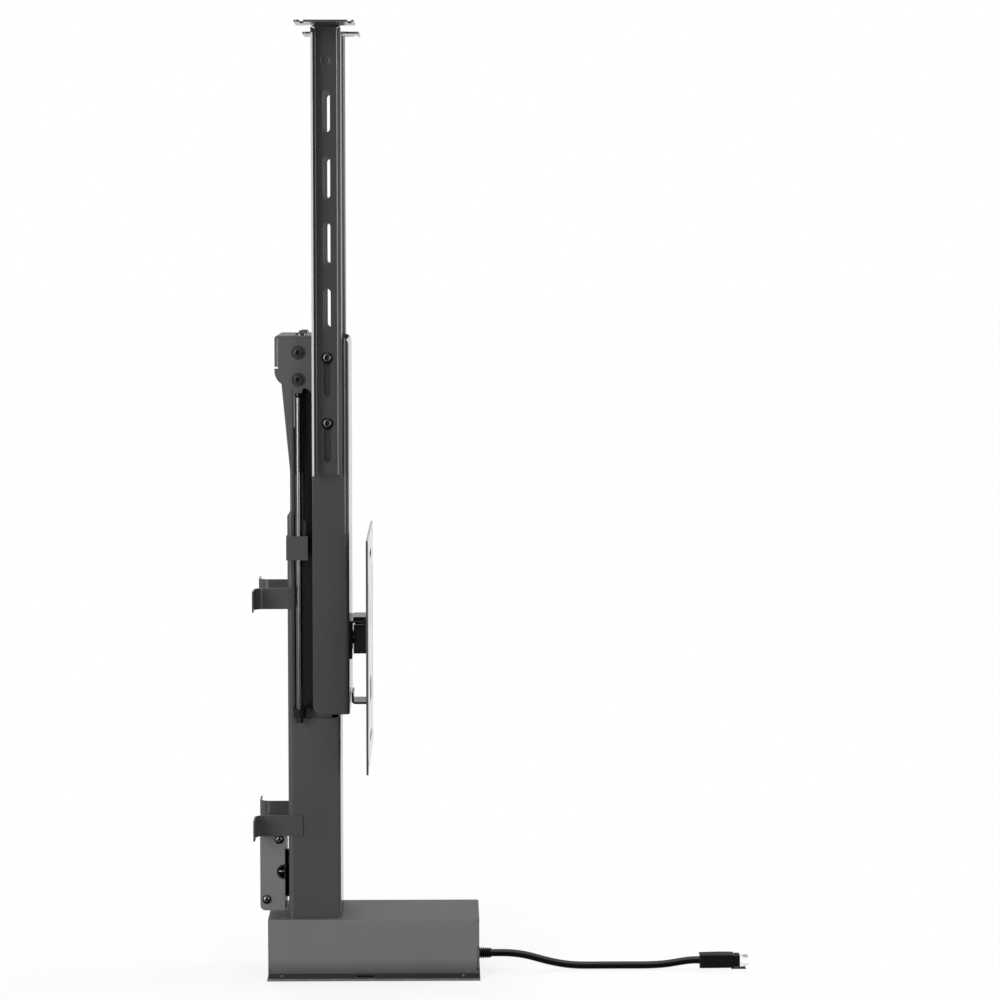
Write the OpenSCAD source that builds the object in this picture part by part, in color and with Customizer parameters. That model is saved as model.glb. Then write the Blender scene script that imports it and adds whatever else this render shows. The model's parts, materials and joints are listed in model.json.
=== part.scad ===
// Motorised television lift: floor foot, fixed column, inner column, belt-driven carriage and lid arms.
// X points to the television, Z up. Left is -Y, right is +Y. The floor is at Z = 0.

/* [Foot] */
// Length of the foot, back to front
foot_l = 202; // [180:1:260]
// Width of the foot
foot_w = 97; // [88:1:130]
// Height of the foot's cover above the floor
foot_h = 59.6; // [55:0.1:75]
// How far the foot reaches behind the column's centre
foot_back = 45.5; // [40:0.5:60]
// Thickness of the foot's cover sheet
cover_t = 1.5; // [1:0.1:2]
// Thickness of the floor plate
floor_t = 2; // [1.5:0.5:4]
// Height of the shadow gap under the cover's edge
foot_gap = 7; // [5:0.5:10]

/* [Column] */
// Depth of the outer column, back to front
column_d = 50; // [48:1:60]
// Width of the outer column
column_w = 80; // [78:1:90]
// Wall of the outer column
column_t = 2; // [1.5:0.1:2.5]
// Height where the closed part of the column ends
column_box_top = 253; // [220:1:255]
// Height of the open rear channel
column_top = 449.2; // [440:0.1:470]
// Depth of the rear channel's side flanges
flange_d = 6.7; // [5:0.1:8]
// Outer bend radius of the column
column_r = 3.5; // [2.5:0.1:5]

/* [Inner column] */
// Width of the inner column
inner_w = 60; // [56:1:64]
// Wall of the inner column
inner_t = 2; // [1.5:0.1:2.5]
// Height of the inner column's lower end
inner_bottom = 75; // [72:1:90]
// Height of the inner column's upper end
inner_top = 615.5; // [600:0.5:640]
// Width of both rails
rail_w = 72; // [70:1:72]
// Height where the rear rail ends
rear_rail_top = 530; // [500:1:560]

/* [Carriage] */
// Width of the carriage shell
carriage_w = 120; // [118:1:140]
// Depth of the carriage shell, back to front
carriage_d = 34.6; // [34:0.1:50]
// Height of the carriage's lower edge
carriage_bottom = 259; // [258:1:270]
// Height of the carriage's upper edge
carriage_top = 616; // [600:1:640]
// Sheet of the carriage
carriage_t = 2; // [1.5:0.1:2.5]

/* [Television plate] */
// Width and height of the plate
plate_size = 220; // [212:1:260]
// Sheet of the plate
plate_t = 2; // [1.5:0.1:3]
// Height of the plate's centre
plate_z = 318.5; // [310:0.5:340]
// Larger hole pattern, centre to centre
vesa_large = 200; // [180:1:200]
// Smaller hole pattern, centre to centre
vesa_small = 100; // [80:1:110]

/* [Lid arms] */
// Width of each arm's web
arm_w = 27.8; // [24:0.1:32]
// Depth of each arm's flanges
arm_d = 20; // [16:0.1:26]
// Sheet of the arms
arm_t = 2; // [1.5:0.1:2.5]
// Height of the arms' lower end
arm_bottom = 487; // [470:1:500]
// Height of the lid plates' upper face
lid_z = 908.2; // [880:0.1:940]
// Length of each lid plate, back to front
lid_l = 55; // [45:1:70]
// Reach of each lid plate, outwards from the arm's web
lid_reach = 66; // [50:1:80]
// Number of slots in each arm
slot_count = 6; // [5:1:6]
// Length of each slot
slot_l = 39; // [34:1:44]
// Width of each slot
slot_w = 6.8; // [6.3:0.1:8]

/* [Head bracket] */
// Thickness of the head bracket's sheet
head_t = 2; // [1.5:0.1:2.5]
// Width over the head bracket's cheeks
head_w = 104; // [102:1:108]

/* [Stop rods] */
// Diameter of the stop rods
rod_dia = 6; // [5:0.1:7]
// Height of the rod clamps' lower edge
clamp_z = 405.3; // [390:0.1:410]
// Height of the rod clamps
clamp_h = 23; // [16:1:26]

/* [Wall straps] */
// Height of each wall strap
strap_h = 20; // [16:1:26]
// Lower edge of the upper straps
upper_strap_z = 357.4; // [340:0.1:370]
// Lower edge of the lower straps
lower_strap_z = 139.3; // [136:0.1:150]
// How far the straps reach behind the column's centre
strap_back = 57.6; // [54:0.1:70]

/* [Control box] */
// Width of the control box
box_w = 70; // [60:1:76]
// Height of the control box's lower edge
box_z = 66; // [62:1:70]
// Height of the control box
box_h = 80.5; // [76:0.5:110]
// Depth of the control box
box_d = 23.8; // [18:0.1:26]

/* [Lead] */
// Diameter of the lead
cord_dia = 7.3; // [5:0.1:8]
// Height of the strain relief's centre
relief_z = 16.5; // [14:0.5:20]

/* [Hidden] */
$fn = 48;

// Clearances: faces that slide, pins that turn, and pieces that pass through a hole
slide_gap = 0.3;
turn_gap = 0.05;
hole_gap = 0.25;

// Finish colours
column_paint = "#474747";
foot_paint = "#6b6b6b";
black_part = "#141414";
bare_steel = "#9a9a9a";
brass_part = "#b08d4a";
board_green = "#2f5d3a";
clear_part = "#dfe4e6";

// Foot
foot_x0 = -foot_back;
foot_x1 = foot_x0 + foot_l;
plate_lip = 1;
bend_r = 0.5;
corner_cut = 2.5;
upstand_h = 10.5;
notch_z = 10;
notch_h = 23;
notch_d = 2;
foot_screw_d = 3.2;
foot_mark_l = 16;
cover_inner_w = foot_w - 2 * cover_t;

// Column
column_set_back = 0.7;
column_x0 = -column_d / 2 - column_set_back;
column_y = column_w / 2;
column_in_y = column_y - column_t;
column_bend_r = column_r - column_t + 0.5;
column_chamfer_h = 3.2;
column_chamfer_d = 2.3;
throat_t = 1.5;
throat_x0 = -10.6;
throat_x1 = 16;
throat_rise = 12;
throat_drop = 25;
guide_t = 0.6;
rail_t = 1.5;
rail_x0 = column_x0 + column_t + guide_t + 0.2;
rail_flange = 4.2;
inner_x0 = rail_x0 + rail_t;
inner_d = 39.7;
inner_x1 = inner_x0 + inner_d;
front_rail_t = 2;
front_rail_bottom = 256;
front_rail_top = inner_top - 4;
lip_t = 1.6;
guide_h = 26;
guide_z = [346, 418];

// Drive
spindle_d = 12;
spindle_top = 372;
gearbox_l = 44;
gearbox_w = 60;
gearbox_top = 57;
bearing_d = 30;
bearing_h = 8;
motor_d = 40;
motor_l = 96;
motor_z = 31;
window_w = 46;
nut_d = 24;
nut_h = 30;
nut_z = inner_bottom + 6;

// Head
head_top = inner_top + head_t;
head_back = -36.4;
cheek_y = head_w / 2;
cheek_front = 12;
head_screw_x = -13.9;
head_screw_z = [601.6, 576];
head_screw_d = 5;
washer_d = 13.2;
pulley_r = 8.7;
pulley_rim = 10.2;
pulley_z = 586;
belt_t = 1.4;
belt_w = 6;
belt_inset = 7;
belt_y = cheek_y - head_t - belt_inset;
rear_belt_x = -pulley_r - belt_t / 2;
front_belt_x = pulley_r + belt_t / 2;
pin_d = 6;
block_x1 = -11.2;
block_z0 = 570;
block_drop = 2;
corner_r = 3;
slit_z = 588;
slit_h = 1.6;
slit_l = 3.4;
shoulder_r = 15;
cut_z = 568;
cut_r = 8;
leg_z = 540;
tail_x0 = -21.8;
tail_x1 = -19.75;
washer_t = 0.8;
head_bolt_x = -12.1;
head_bolt_y = 36;
head_bolt_d = 5;
pulley_l = 7.6;

// Stop rods
foot_lug_z = 255;
foot_lug_h = 8.7;
foot_lug_d = 12.6;
foot_lug_web = 12;
rod_nut_l = 5;
rod_x = -14.2;
rod_y = cheek_y - head_t / 2;
rod_bottom = foot_lug_z + 1;
rod_top = 560.2;
tip_top = 563.2;
clamp_x0 = column_x0 - 0.3;
clamp_x1 = -5.5;
clamp_t = 1.5;
clamp_side = 2;
clamp_y = rod_y + rod_dia / 2 + clamp_side;
fitting_z0 = clamp_z + clamp_h;
fitting_z1 = 487.7;
fitting_t = 2;
fitting_clip = 14;
fitting_seat = 6;

// Carriage
carriage_x0 = -1;
carriage_x1 = carriage_x0 + carriage_d;
web_x = carriage_x1 - carriage_t;
carriage_y = carriage_w / 2;
carriage_in_y = carriage_y - carriage_t;
carriage_r = 5;
carriage_rear_r = 8;
carriage_top_r = 7;
slide_w = 84;
slide_h = 30;
slide_z = [262, 330];
anchor_z = 262;
anchor_h = 20;
guide_screw_y = 38;
guide_screw_d = 4;
guide_sink_d = 7.6;

// Television plate and its hook
plate_x = 50.4;
hook_w = 68;
hook_t = 2;
hook_z0 = 308.5;
hook_z1 = 343;
hook_reach = 48 - carriage_x1;
lip_z = hook_z1 + 2 * hook_t + 0.2;
hanger_w = 40;
hanger_z0 = 312;
hanger_cheek_z1 = 340;
tab_w = 38;
tab_z = 263;
tab_x = 34.4;
tab_rise = 11;
window_h = 22;
plate_corner = 1.5;
plate_slot = 70;
vesa_hole_d = 6.6;
small_hole_d = 5.4;

// Lid arms
arm_x0 = -0.1;
arm_xc = arm_x0 + arm_w / 2;
spacer_t = 1.2;
spacer_d = 13;
arm_y0 = carriage_y + spacer_t + slide_gap;
arm_r = 4.5;
neck_w = 20;
neck_flare_w = 34;
neck_r = 4;
web_top = lid_z - neck_r;
dimple_z = lid_z - 34;
dimple_d = 9.5;
lid_edge_y = arm_y0 + lid_reach;
lid_hole_inset = 23;
slot_pitch = 61.7;
arm_screw_z = [597, 535.3];
arm_screw_d = 6;
arm_head_d = 10.6;
first_slot_top = arm_screw_z[1] + arm_screw_d / 2;
lid_slot_w = 3.6;
lid_hole_d = 5;
lid_hole_pitch = 30;

// Wall straps
strap_t = 1.5;
strap_bend = 10;
strap_reach = 34;
strap_hole_d = 5.5;
upper_strap_x1 = column_x0 + flange_d;
lower_strap_x1 = -11.9;

// Control box
box_x0 = -53.3;
box_x1 = box_x0 + box_d;
box_t = 1.2;
box_r = 5;
grommet_z = 103.5;
grommet_d = 14;
grommet_x = box_x1 - 1;
box_gap_z = 125.4;
box_gap_h = 15;
box_gap_drop = 12;
box_screw_in = [5.5, 6.1];
box_screw_rise = [11.6, 10.8];
board_inset = 7;

// Lead
relief_l = 12.5;
relief_d = 11;
relief_neck_d = cord_dia + 1;
relief_x1 = foot_x1 + relief_l;
connector_x = 371;
connector_z = 8.7;
floor_rest = 3.9;
cord_route = [
    [relief_x1, relief_z], [180, relief_z], [190, 16], [200, 14.6], [210, 12.2], [220, 9.4], [230, 7],
    [240, 5.2], [250, 4.2], [260, floor_rest], [275, floor_rest], [290, floor_rest], [305, floor_rest],
    [318, floor_rest], [330, 4.3], [340, 5.2], [350, 6.8], [358, 8], [364, 8.6], [connector_x, connector_z]
];

// Both sides of the lift, from the shape drawn on the right
module both_sides() {
    children();
    mirror([0, 1, 0]) children();
}

// The left copy of a shape drawn on the right
module left_side() {
    mirror([0, 1, 0]) children();
}

// Box between two corners
module block(x0, x1, y0, y1, z0, z1) {
    translate([x0, y0, z0]) cube([x1 - x0, y1 - y0, z1 - z0]);
}

// Rectangle between two corners with round corners
module round_rect(x0, x1, y0, y1, r) {
    translate([x0 + r, y0]) square([x1 - x0 - 2 * r, y1 - y0]);
    translate([x0, y0 + r]) square([x1 - x0, y1 - y0 - 2 * r]);
    for (x = [x0 + r, x1 - r], y = [y0 + r, y1 - r]) translate([x, y]) circle(r);
}

// Upright prism of an outline in X and Y
module upright(z0, z1) {
    translate([0, 0, z0]) linear_extrude(z1 - z0) children();
}

// Prism along Y of an outline drawn in X and Z
module across(y0, y1) {
    translate([0, y1, 0]) rotate([90, 0, 0]) linear_extrude(y1 - y0) children();
}

// Prism along X of an outline drawn in Y and Z
module along(x0, x1) {
    translate([x0, 0, 0]) rotate([90, 0, 90]) linear_extrude(x1 - x0) children();
}

// Round bars along X, Y and Z
module bar_x(x0, x1, y, z, d) {
    translate([x0, y, z]) rotate([0, 90, 0]) cylinder(h = x1 - x0, d = d);
}
module bar_y(x, y0, y1, z, d) {
    translate([x, y0, z]) rotate([-90, 0, 0]) cylinder(h = y1 - y0, d = d);
}
module bar_z(x, y, z0, z1, d) {
    translate([x, y, z0]) cylinder(h = z1 - z0, d = d);
}

// Button head screw along Y with a hexagon socket, its head's seat at y and its shank inwards
module button_screw(x, y, z, shank_d, shank_l, head_d, head_h) {
    translate([x, y, z]) rotate([-90, 0, 0]) {
        translate([0, 0, -shank_l]) cylinder(h = shank_l, d = shank_d);
        difference() {
            intersection() {
                cylinder(h = head_h, d = head_d);
                translate([0, 0, head_h - head_d * 0.62]) sphere(r = head_d * 0.62);
            }
            translate([0, 0, head_h * 0.4]) cylinder(h = head_h, d = shank_d * 0.66, $fn = 6);
        }
    }
}

// Foot: floor plate with a stepped upstand, flush with the cover below and inside it above
module base_floor_plate() {
    inset = cover_t + slide_gap;
    color(foot_paint) difference() {
        union() {
            block(foot_x0 - plate_lip, foot_x1 + plate_lip,
                -foot_w / 2 - plate_lip, foot_w / 2 + plate_lip, 0, floor_t);
            block(foot_x0 + slide_gap, foot_x1 - slide_gap,
                -foot_w / 2 + slide_gap, foot_w / 2 - slide_gap, floor_t, foot_gap - slide_gap);
            block(foot_x0 + inset, foot_x1 - inset,
                -foot_w / 2 + inset, foot_w / 2 - inset, floor_t, upstand_h);
        }
        block(foot_x0 + inset + cover_t, foot_x1 - inset - cover_t, -foot_w / 2 + inset + cover_t,
            foot_w / 2 - inset - cover_t, floor_t, upstand_h + 1);
        for (x = foot_screw_x()) bar_y(x, -foot_w, foot_w, foot_screw_z(), foot_screw_d - 0.6);
        block(foot_mark_x() - foot_mark_l / 2, foot_mark_x() + foot_mark_l / 2, -foot_w, foot_w,
            foot_screw_z() - 0.6, foot_screw_z() + 0.6);
    }
}

// Places of the marks in the shadow gap
function foot_screw_x() = [foot_x0 + 13, foot_x1 - 15];
function foot_screw_z() = (floor_t + foot_gap) / 2;
function foot_mark_x() = foot_x0 + foot_l * 0.46;

// Foot cover: top and two sides folded from one sheet
module base_cover() {
    color(foot_paint) difference() {
        along(foot_x0, foot_x1) difference() {
            cover_outline(0);
            cover_outline(cover_t);
        }
        upright(foot_h - 2 * cover_t, foot_h + 1)
            round_rect(column_x0 - hole_gap, column_x0 + column_d + hole_gap,
                -column_y - hole_gap, column_y + hole_gap, column_r);
        for (x = [foot_x0, foot_x1]) {
            block(x - notch_d, x + notch_d, -foot_w, foot_w, notch_z, notch_z + notch_h);
            both_sides() block(x - cover_t, x + cover_t, foot_w / 2 - corner_cut, foot_w,
                foot_h - corner_cut, foot_h + 1);
        }
    }
}

// Outline of the foot's cover in Y and Z, taken in by a given wall
module cover_outline(wall) {
    intersection() {
        round_rect(-foot_w / 2 + wall, foot_w / 2 - wall, -foot_h, foot_h - wall, bend_r + cover_t - wall);
        translate([-foot_w, foot_gap - wall]) square([2 * foot_w, foot_h]);
    }
}

// End panel of the foot: a tray whose side flanges lie against the cover from inside
module end_panel(x_out, inward, hole_d) {
    flange_l = 12;
    half = cover_inner_w / 2 - 0.1;
    top = foot_h - cover_t - 0.1;
    x_in = x_out + inward * cover_t;
    x_end = x_out + inward * flange_l;
    color(foot_paint) difference() {
        union() {
            block(min(x_out, x_in), max(x_out, x_in), -half, half, foot_gap, top);
            both_sides() block(min(x_out, x_end), max(x_out, x_end), half - cover_t, half,
                upstand_h + 1, top - corner_cut);
        }
        both_sides() block(min(x_out, x_in) - 1, max(x_out, x_in) + 1, half - corner_cut, half + 1,
            top - corner_cut, top + 1);
        if (hole_d > 0) bar_x(x_out - foot_l / 8, x_out + foot_l / 8, 0, relief_z, hole_d);
        block(min(x_in, x_end) + 0.2, max(x_in, x_end) + 1, -half, half, 0, upstand_h + slide_gap);
    }
}

module base_front_panel() {
    end_panel(foot_x1, -1, relief_neck_d + 2 * turn_gap);
}

module base_rear_panel() {
    end_panel(foot_x0, 1, 0);
}

// Small screws in the upstand, in the shadow gap under the cover
module base_screws() {
    seat = foot_w / 2 - slide_gap;
    color(bare_steel) both_sides() for (x = foot_screw_x())
        button_screw(x, seat, foot_screw_z(), foot_screw_d - 0.8, 4, foot_screw_d, 1);
}

// Outer column: closed box with throat plates below, rear channel with chamfered corners above
module outer_column() {
    color(column_paint) difference() {
        union() {
            upright(floor_t, column_box_top) column_ring(column_d);
            both_sides() across(column_in_y - throat_t, column_in_y) polygon([
                [throat_x0, column_box_top - throat_drop], [throat_x1, column_box_top - throat_drop],
                [throat_x1, column_box_top + throat_rise],
                [throat_x0 + throat_rise, column_box_top + throat_rise],
                [throat_x0, column_box_top]
            ]);
            upright(column_box_top, column_top) intersection() {
                column_ring(column_d);
                translate([column_x0, -column_w]) square([flange_d, 2 * column_w]);
            }
        }
        across(-column_w, column_w) polygon([
            [column_x0 - 1, column_top - column_chamfer_h], [column_x0, column_top - column_chamfer_h],
            [column_x0 + column_chamfer_d, column_top], [column_x0 + column_chamfer_d, column_top + 1],
            [column_x0 - 1, column_top + 1]
        ]);
        along(column_x0 + column_t, column_d) round_rect(-window_w / 2, window_w / 2, -10,
            motor_z + motor_d / 2 + 3, 3);
        bar_x(column_x0 - 1, column_x0 + column_t + 1, 0, grommet_z, 12);
    }
}

// Ring of the folded column in plan
module column_ring(depth) {
    difference() {
        round_rect(column_x0, column_x0 + depth, -column_y, column_y, column_r);
        round_rect(column_x0 + column_t, column_x0 + depth - column_t, -column_in_y, column_in_y,
            column_bend_r);
    }
}

// Plastic guides of the outer column: they wrap the rear rail's flanges
module column_guides() {
    y_out = column_in_y - 0.1;
    y_in = rail_w / 2 + slide_gap;
    lip_x = rail_x0 + rail_flange + slide_gap;
    color(black_part) for (z = guide_z) difference() {
        upright(z, z + guide_h) difference() {
            round_rect(column_x0 + column_t, lip_x + lip_t, -y_out, y_out, column_bend_r);
            translate([rail_x0 - 0.2, -y_in]) square([rail_flange + slide_gap + 0.2, 2 * y_in]);
            translate([rail_x0, -inner_w / 2 - 1]) square([column_d, inner_w + 2]);
        }
    }
}

// Motor: round can with end caps, lying in the foot
module motor() {
    x0 = gearbox_l / 2;
    cap_l = 10;
    color(bare_steel) {
        bar_x(x0, x0 + cap_l, 0, motor_z, motor_d + 2);
        bar_x(x0 + cap_l, x0 + motor_l - cap_l, 0, motor_z, motor_d);
        bar_x(x0 + motor_l - cap_l, x0 + motor_l, 0, motor_z, motor_d + 2);
        bar_x(x0 + motor_l, x0 + motor_l + 4, 0, motor_z, 12);
    }
}

// Gearbox: cast block on the floor plate, bored for the spindle's foot
module gearbox() {
    color(bare_steel) difference() {
        union() {
            block(-gearbox_l / 2, gearbox_l / 2, -gearbox_w / 2, gearbox_w / 2, floor_t, 10);
            upright(10, gearbox_top) round_rect(-gearbox_l / 2, gearbox_l / 2,
                -gearbox_w / 2 + 6, gearbox_w / 2 - 6, 4);
        }
        bar_z(0, 0, gearbox_top - 14, gearbox_top + 1, spindle_d + 2 * turn_gap);
    }
}

// Bearing housing on the gearbox
module spindle_bearing() {
    color(bare_steel) difference() {
        union() {
            bar_z(0, 0, gearbox_top, gearbox_top + bearing_h, bearing_d);
            bar_z(0, 0, gearbox_top, gearbox_top + 3, bearing_d + 10);
        }
        bar_z(0, 0, gearbox_top - 1, gearbox_top + bearing_h + 1, spindle_d + 2 * turn_gap);
    }
}

// Drive spindle
module spindle() {
    color(bare_steel) {
        bar_z(0, 0, gearbox_top - 13.5, spindle_top - 2, spindle_d);
        translate([0, 0, spindle_top - 2]) cylinder(h = 2, d1 = spindle_d, d2 = spindle_d - 4);
    }
}

// Rod clamp: folded sheet that wraps the column's rear corner and carries the stop rod
module rod_clamp() {
    color(column_paint) difference() {
        union() {
            upright(clamp_z, clamp_z + clamp_h) difference() {
                translate([clamp_x0, column_y - 8]) square([clamp_x1 - clamp_x0, clamp_y - column_y + 8]);
                translate([clamp_x0 + clamp_t, column_y - 9])
                    square([clamp_x1 - clamp_x0, clamp_y - column_y + 9 - clamp_t]);
            }
            block(clamp_x0, clamp_x1, column_y, clamp_y, clamp_z + clamp_h - clamp_t, clamp_z + clamp_h);
            block(clamp_x0, rod_x + rod_dia, column_y, clamp_y, clamp_z, clamp_z + 8);
        }
        bar_z(rod_x, rod_y, clamp_z - 1, clamp_z + clamp_h + 1, rod_dia + 2 * turn_gap);
        block(clamp_x0 - 1, column_x0 + column_r, 0, column_y, clamp_z - 1, clamp_z + clamp_h + 1);
    }
}

module rod_clamp_right() {
    rod_clamp();
}

module rod_clamp_left() {
    left_side() rod_clamp();
}

// Stop rod, on which the head bracket parks
module stop_rod() {
    color(black_part) {
        bar_z(rod_x, rod_y, rod_bottom, rod_top - 1, rod_dia);
        translate([rod_x, rod_y, rod_top - 1]) cylinder(h = 1, d1 = rod_dia, d2 = rod_dia - 2);
    }
}

module stop_rod_right() {
    stop_rod();
}

module stop_rod_left() {
    left_side() stop_rod();
}

// Soft tips on the stop rods
module rod_tips() {
    color(black_part) both_sides() translate([rod_x, rod_y, rod_top])
        rotate_extrude() polygon([[0, 0], [rod_dia / 2 + 0.2, 0], [rod_dia / 2 + 0.5, 0.6],
            [rod_dia / 2 + 0.5, tip_top - rod_top], [0, tip_top - rod_top]]);
}

// Lugs with a slanted web on the column's sides, which carry the lower ends of the rods
module rod_feet() {
    half = foot_lug_d / 2;
    top = foot_lug_z + foot_lug_h;
    color(black_part) both_sides() difference() {
        union() {
            across(column_y, rod_y) polygon([
                [rod_x - half, top], [rod_x + foot_lug_web, top],
                [rod_x + half - 1, foot_lug_z], [rod_x - half + 1, foot_lug_z]
            ]);
            translate([rod_x, rod_y, foot_lug_z])
                cylinder(h = foot_lug_h, d1 = foot_lug_d - 1.4, d2 = foot_lug_d);
        }
        bar_z(rod_x, rod_y, rod_bottom, top + 1, rod_dia);
    }
}

// Nuts under the rod feet
module rod_nuts() {
    color(black_part) both_sides() bar_z(rod_x, rod_y, foot_lug_z - rod_nut_l, foot_lug_z, rod_dia + 1.2);
}

// Wall strap: arm along the column, a round bend and a flange with its screw hole
module wall_strap(z, x1) {
    y_in = column_y;
    x_out = -strap_back;
    xc = x_out + strap_bend;
    yc = y_in + strap_bend;
    inner_r = strap_bend - strap_t;
    color(column_paint) {
        block(xc, x1, y_in, y_in + strap_t, z, z + strap_h);
        intersection() {
            translate([xc, yc, z]) difference() {
                cylinder(h = strap_h, r = strap_bend);
                translate([0, 0, -1]) cylinder(h = strap_h + 2, r = inner_r);
            }
            block(x_out - 1, xc, y_in - 1, yc, z, z + strap_h);
        }
        difference() {
            along(x_out, x_out + strap_t) union() {
                round_rect(yc, y_in + strap_reach, z, z + strap_h, 3);
                translate([yc, z]) square([strap_reach / 3, strap_h]);
            }
            bar_x(x_out - 1, x_out + strap_t + 1, strap_hole_y(), z + strap_h / 2, strap_hole_d);
        }
    }
}
function strap_hole_y() = column_y + strap_reach - 10;

module upper_strap_right() {
    wall_strap(upper_strap_z, upper_strap_x1);
}

module upper_strap_left() {
    left_side() wall_strap(upper_strap_z, upper_strap_x1);
}

module lower_strap_right() {
    wall_strap(lower_strap_z, lower_strap_x1);
}

module lower_strap_left() {
    left_side() wall_strap(lower_strap_z, lower_strap_x1);
}

// Side outline of the control box, taken in by a given wall, open towards the column
module box_outline(wall) {
    round_rect(box_x0 + wall, box_x1 + 2 * box_r, box_z + wall, box_z + box_h - wall, box_r - wall / 2);
}

// Cover of the control box
module control_box_cover() {
    half = box_w / 2;
    color(foot_paint) difference() {
        intersection() {
            across(-half, half) box_outline(0);
            block(box_x0, box_x1, -half, half, box_z, box_z + box_h);
        }
        across(-half + box_t, half - box_t) box_outline(box_t);
        bar_y(grommet_x, -half - 1, -half + box_t + 1, grommet_z, grommet_d + 2 * turn_gap);
        block(grommet_x, box_x1 + 1, -half - 1, -half + box_t + 1,
            grommet_z - grommet_d / 2 - turn_gap, grommet_z + grommet_d / 2 + turn_gap);
        for (p = box_screws()) bar_y(p[0], -half - 1, half + 1, p[1], 3.4);
        block(socket_x() - 5.6, socket_x() + 5.6, half - box_t - 1, half + 1,
            grommet_z - 5.1, grommet_z + 5.1);
    }
}
function socket_x() = box_x0 + 9;
function box_screws() = [
    [box_x1 - box_screw_in[0], box_z + box_h - box_screw_rise[0]],
    [box_x0 + box_screw_in[1], box_z + box_screw_rise[1]]
];

// Base tray of the control box with its feet against the column
module control_box_base() {
    half = box_w / 2 - box_t - 0.1;
    z0 = box_z + box_t + 0.1;
    z1 = box_z + box_h - box_t - 0.1;
    color(foot_paint) difference() {
        union() {
            block(box_x1 - box_t, box_x1, -half, half, z0, z1);
            both_sides() block(box_x0 + box_r, box_x1, half - box_t, half, z0 + 2, z1 - 2);
            block(box_x1, column_x0, 6 - half, -half, z0, box_gap_z);
            block(box_x1, column_x0, half - 6, half, z0, box_gap_z - box_gap_drop);
            both_sides() block(box_x1, column_x0, half - 6, half, box_gap_z + box_gap_h, z1);
        }
        for (p = box_screws()) bar_y(p[0], -box_w, box_w, p[1], 2.6);
        intersection() {
            bar_y(grommet_x, -half - 1, -half + box_t + 4, grommet_z, grommet_d + 1);
            block(box_x0, box_x1, -half - 1, half, box_z, z1);
        }
        block(socket_x() - 6, box_x0 + 18, 0, half + 1, grommet_z - 5.5, grommet_z + 5.5);
        bar_x(box_x1 - box_t - 1, box_x1 + 1, 0, grommet_z, 12);
    }
}

// Dome screws of the control box
module control_box_screws() {
    color(black_part) both_sides() for (p = box_screws())
        button_screw(p[0], box_w / 2, p[1], 2.6, 6, 9, 3.2);
}

// Grommet in the notch of the control box's cover
module cable_grommet() {
    y0 = -box_w / 2;
    color(black_part) difference() {
        union() {
            bar_y(grommet_x, y0 - 0.6, y0, grommet_z, grommet_d - 2);
            bar_y(grommet_x, y0, y0 + box_t, grommet_z, grommet_d);
            bar_y(grommet_x, y0 + box_t, y0 + box_t + 1.5, grommet_z, grommet_d - 1);
        }
        bar_y(grommet_x, y0 - 2, y0 + 0.8, grommet_z, grommet_d - 6);
        block(box_x1, box_x1 + grommet_d, y0 - 1, y0 + box_t + 2,
            grommet_z - grommet_d, grommet_z + grommet_d);
    }
}

// Control board with its transformer, capacitors and relays
module control_board() {
    board_x = box_x1 - box_t - 4;
    board_t = 1.6;
    face_x = board_x - board_t;
    half = box_w / 2 - board_inset;
    z0 = box_z + board_inset;
    z1 = box_z + box_h - board_inset;
    transformer = 20;
    capacitor_d = 8;
    relay_l = 11;
    color(board_green) union() {
        block(face_x, board_x, -half, half, z0, z1);
        block(face_x - 11, face_x, -transformer, 0, z1 - transformer - 4, z1 - 4);
        for (i = [1, 2])
            bar_x(face_x - 10, face_x, i * (capacitor_d + 1), z1 - transformer / 2 - 4, capacitor_d);
        for (i = [-1:1]) block(face_x - 8, face_x, (i - 0.5) * relay_l + i * 3, (i + 0.5) * relay_l + i * 3,
            z0 + 7, z0 + 7 + relay_l);
        for (y = [4 - half, half - 4], z = [z0 + 4, z1 - 4]) bar_x(board_x, box_x1 - box_t, y, z, 5);
    }
}

// Barrel socket for the power lead
module power_socket() {
    half = box_w / 2;
    color(black_part) {
        difference() {
            block(socket_x() - 5.5, socket_x() + 5.5, half - 13, half + 0.4, grommet_z - 5, grommet_z + 5);
            bar_y(socket_x(), half - 9, half + 1, grommet_z, 5.6);
        }
        bar_y(socket_x(), half - 9, half - 0.5, grommet_z, 2);
    }
}

// End fittings on the rod clamps: a strip behind each belt and a clip round its fixed end
module belt_fittings() {
    half = belt_w / 2 + 0.8;
    belt_back = rear_belt_x - belt_t / 2;
    color(column_paint) both_sides() difference() {
        union() {
            block(belt_back - fitting_t, belt_back, belt_y - half, belt_y + half, fitting_z0, fitting_z1);
            block(belt_back - fitting_t, belt_back + belt_t + 1, belt_y - half, belt_y + half,
                fitting_z0, fitting_z0 + fitting_clip);
        }
        block(belt_back, belt_back + belt_t, belt_y - belt_w / 2, belt_y + belt_w / 2,
            fitting_z0 + fitting_seat, fitting_z1 + 1);
    }
}

// Belts' stretch between the fixed fittings and the pulleys
module fixed_belts() {
    color(black_part) both_sides() block(rear_belt_x - belt_t / 2, rear_belt_x + belt_t / 2,
        belt_y - belt_w / 2, belt_y + belt_w / 2, fitting_z0 + fitting_seat, pulley_z);
}

// Inner column: closed tube
module inner_column() {
    half = inner_w / 2;
    color(column_paint) difference() {
        upright(inner_bottom, inner_top) difference() {
            round_rect(inner_x0, inner_x1, -half, half, column_r);
            inner_bore(0);
        }
        bar_y(0, -half - 1, half + 1, pulley_z, pin_d + 2 * turn_gap);
    }
}

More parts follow.
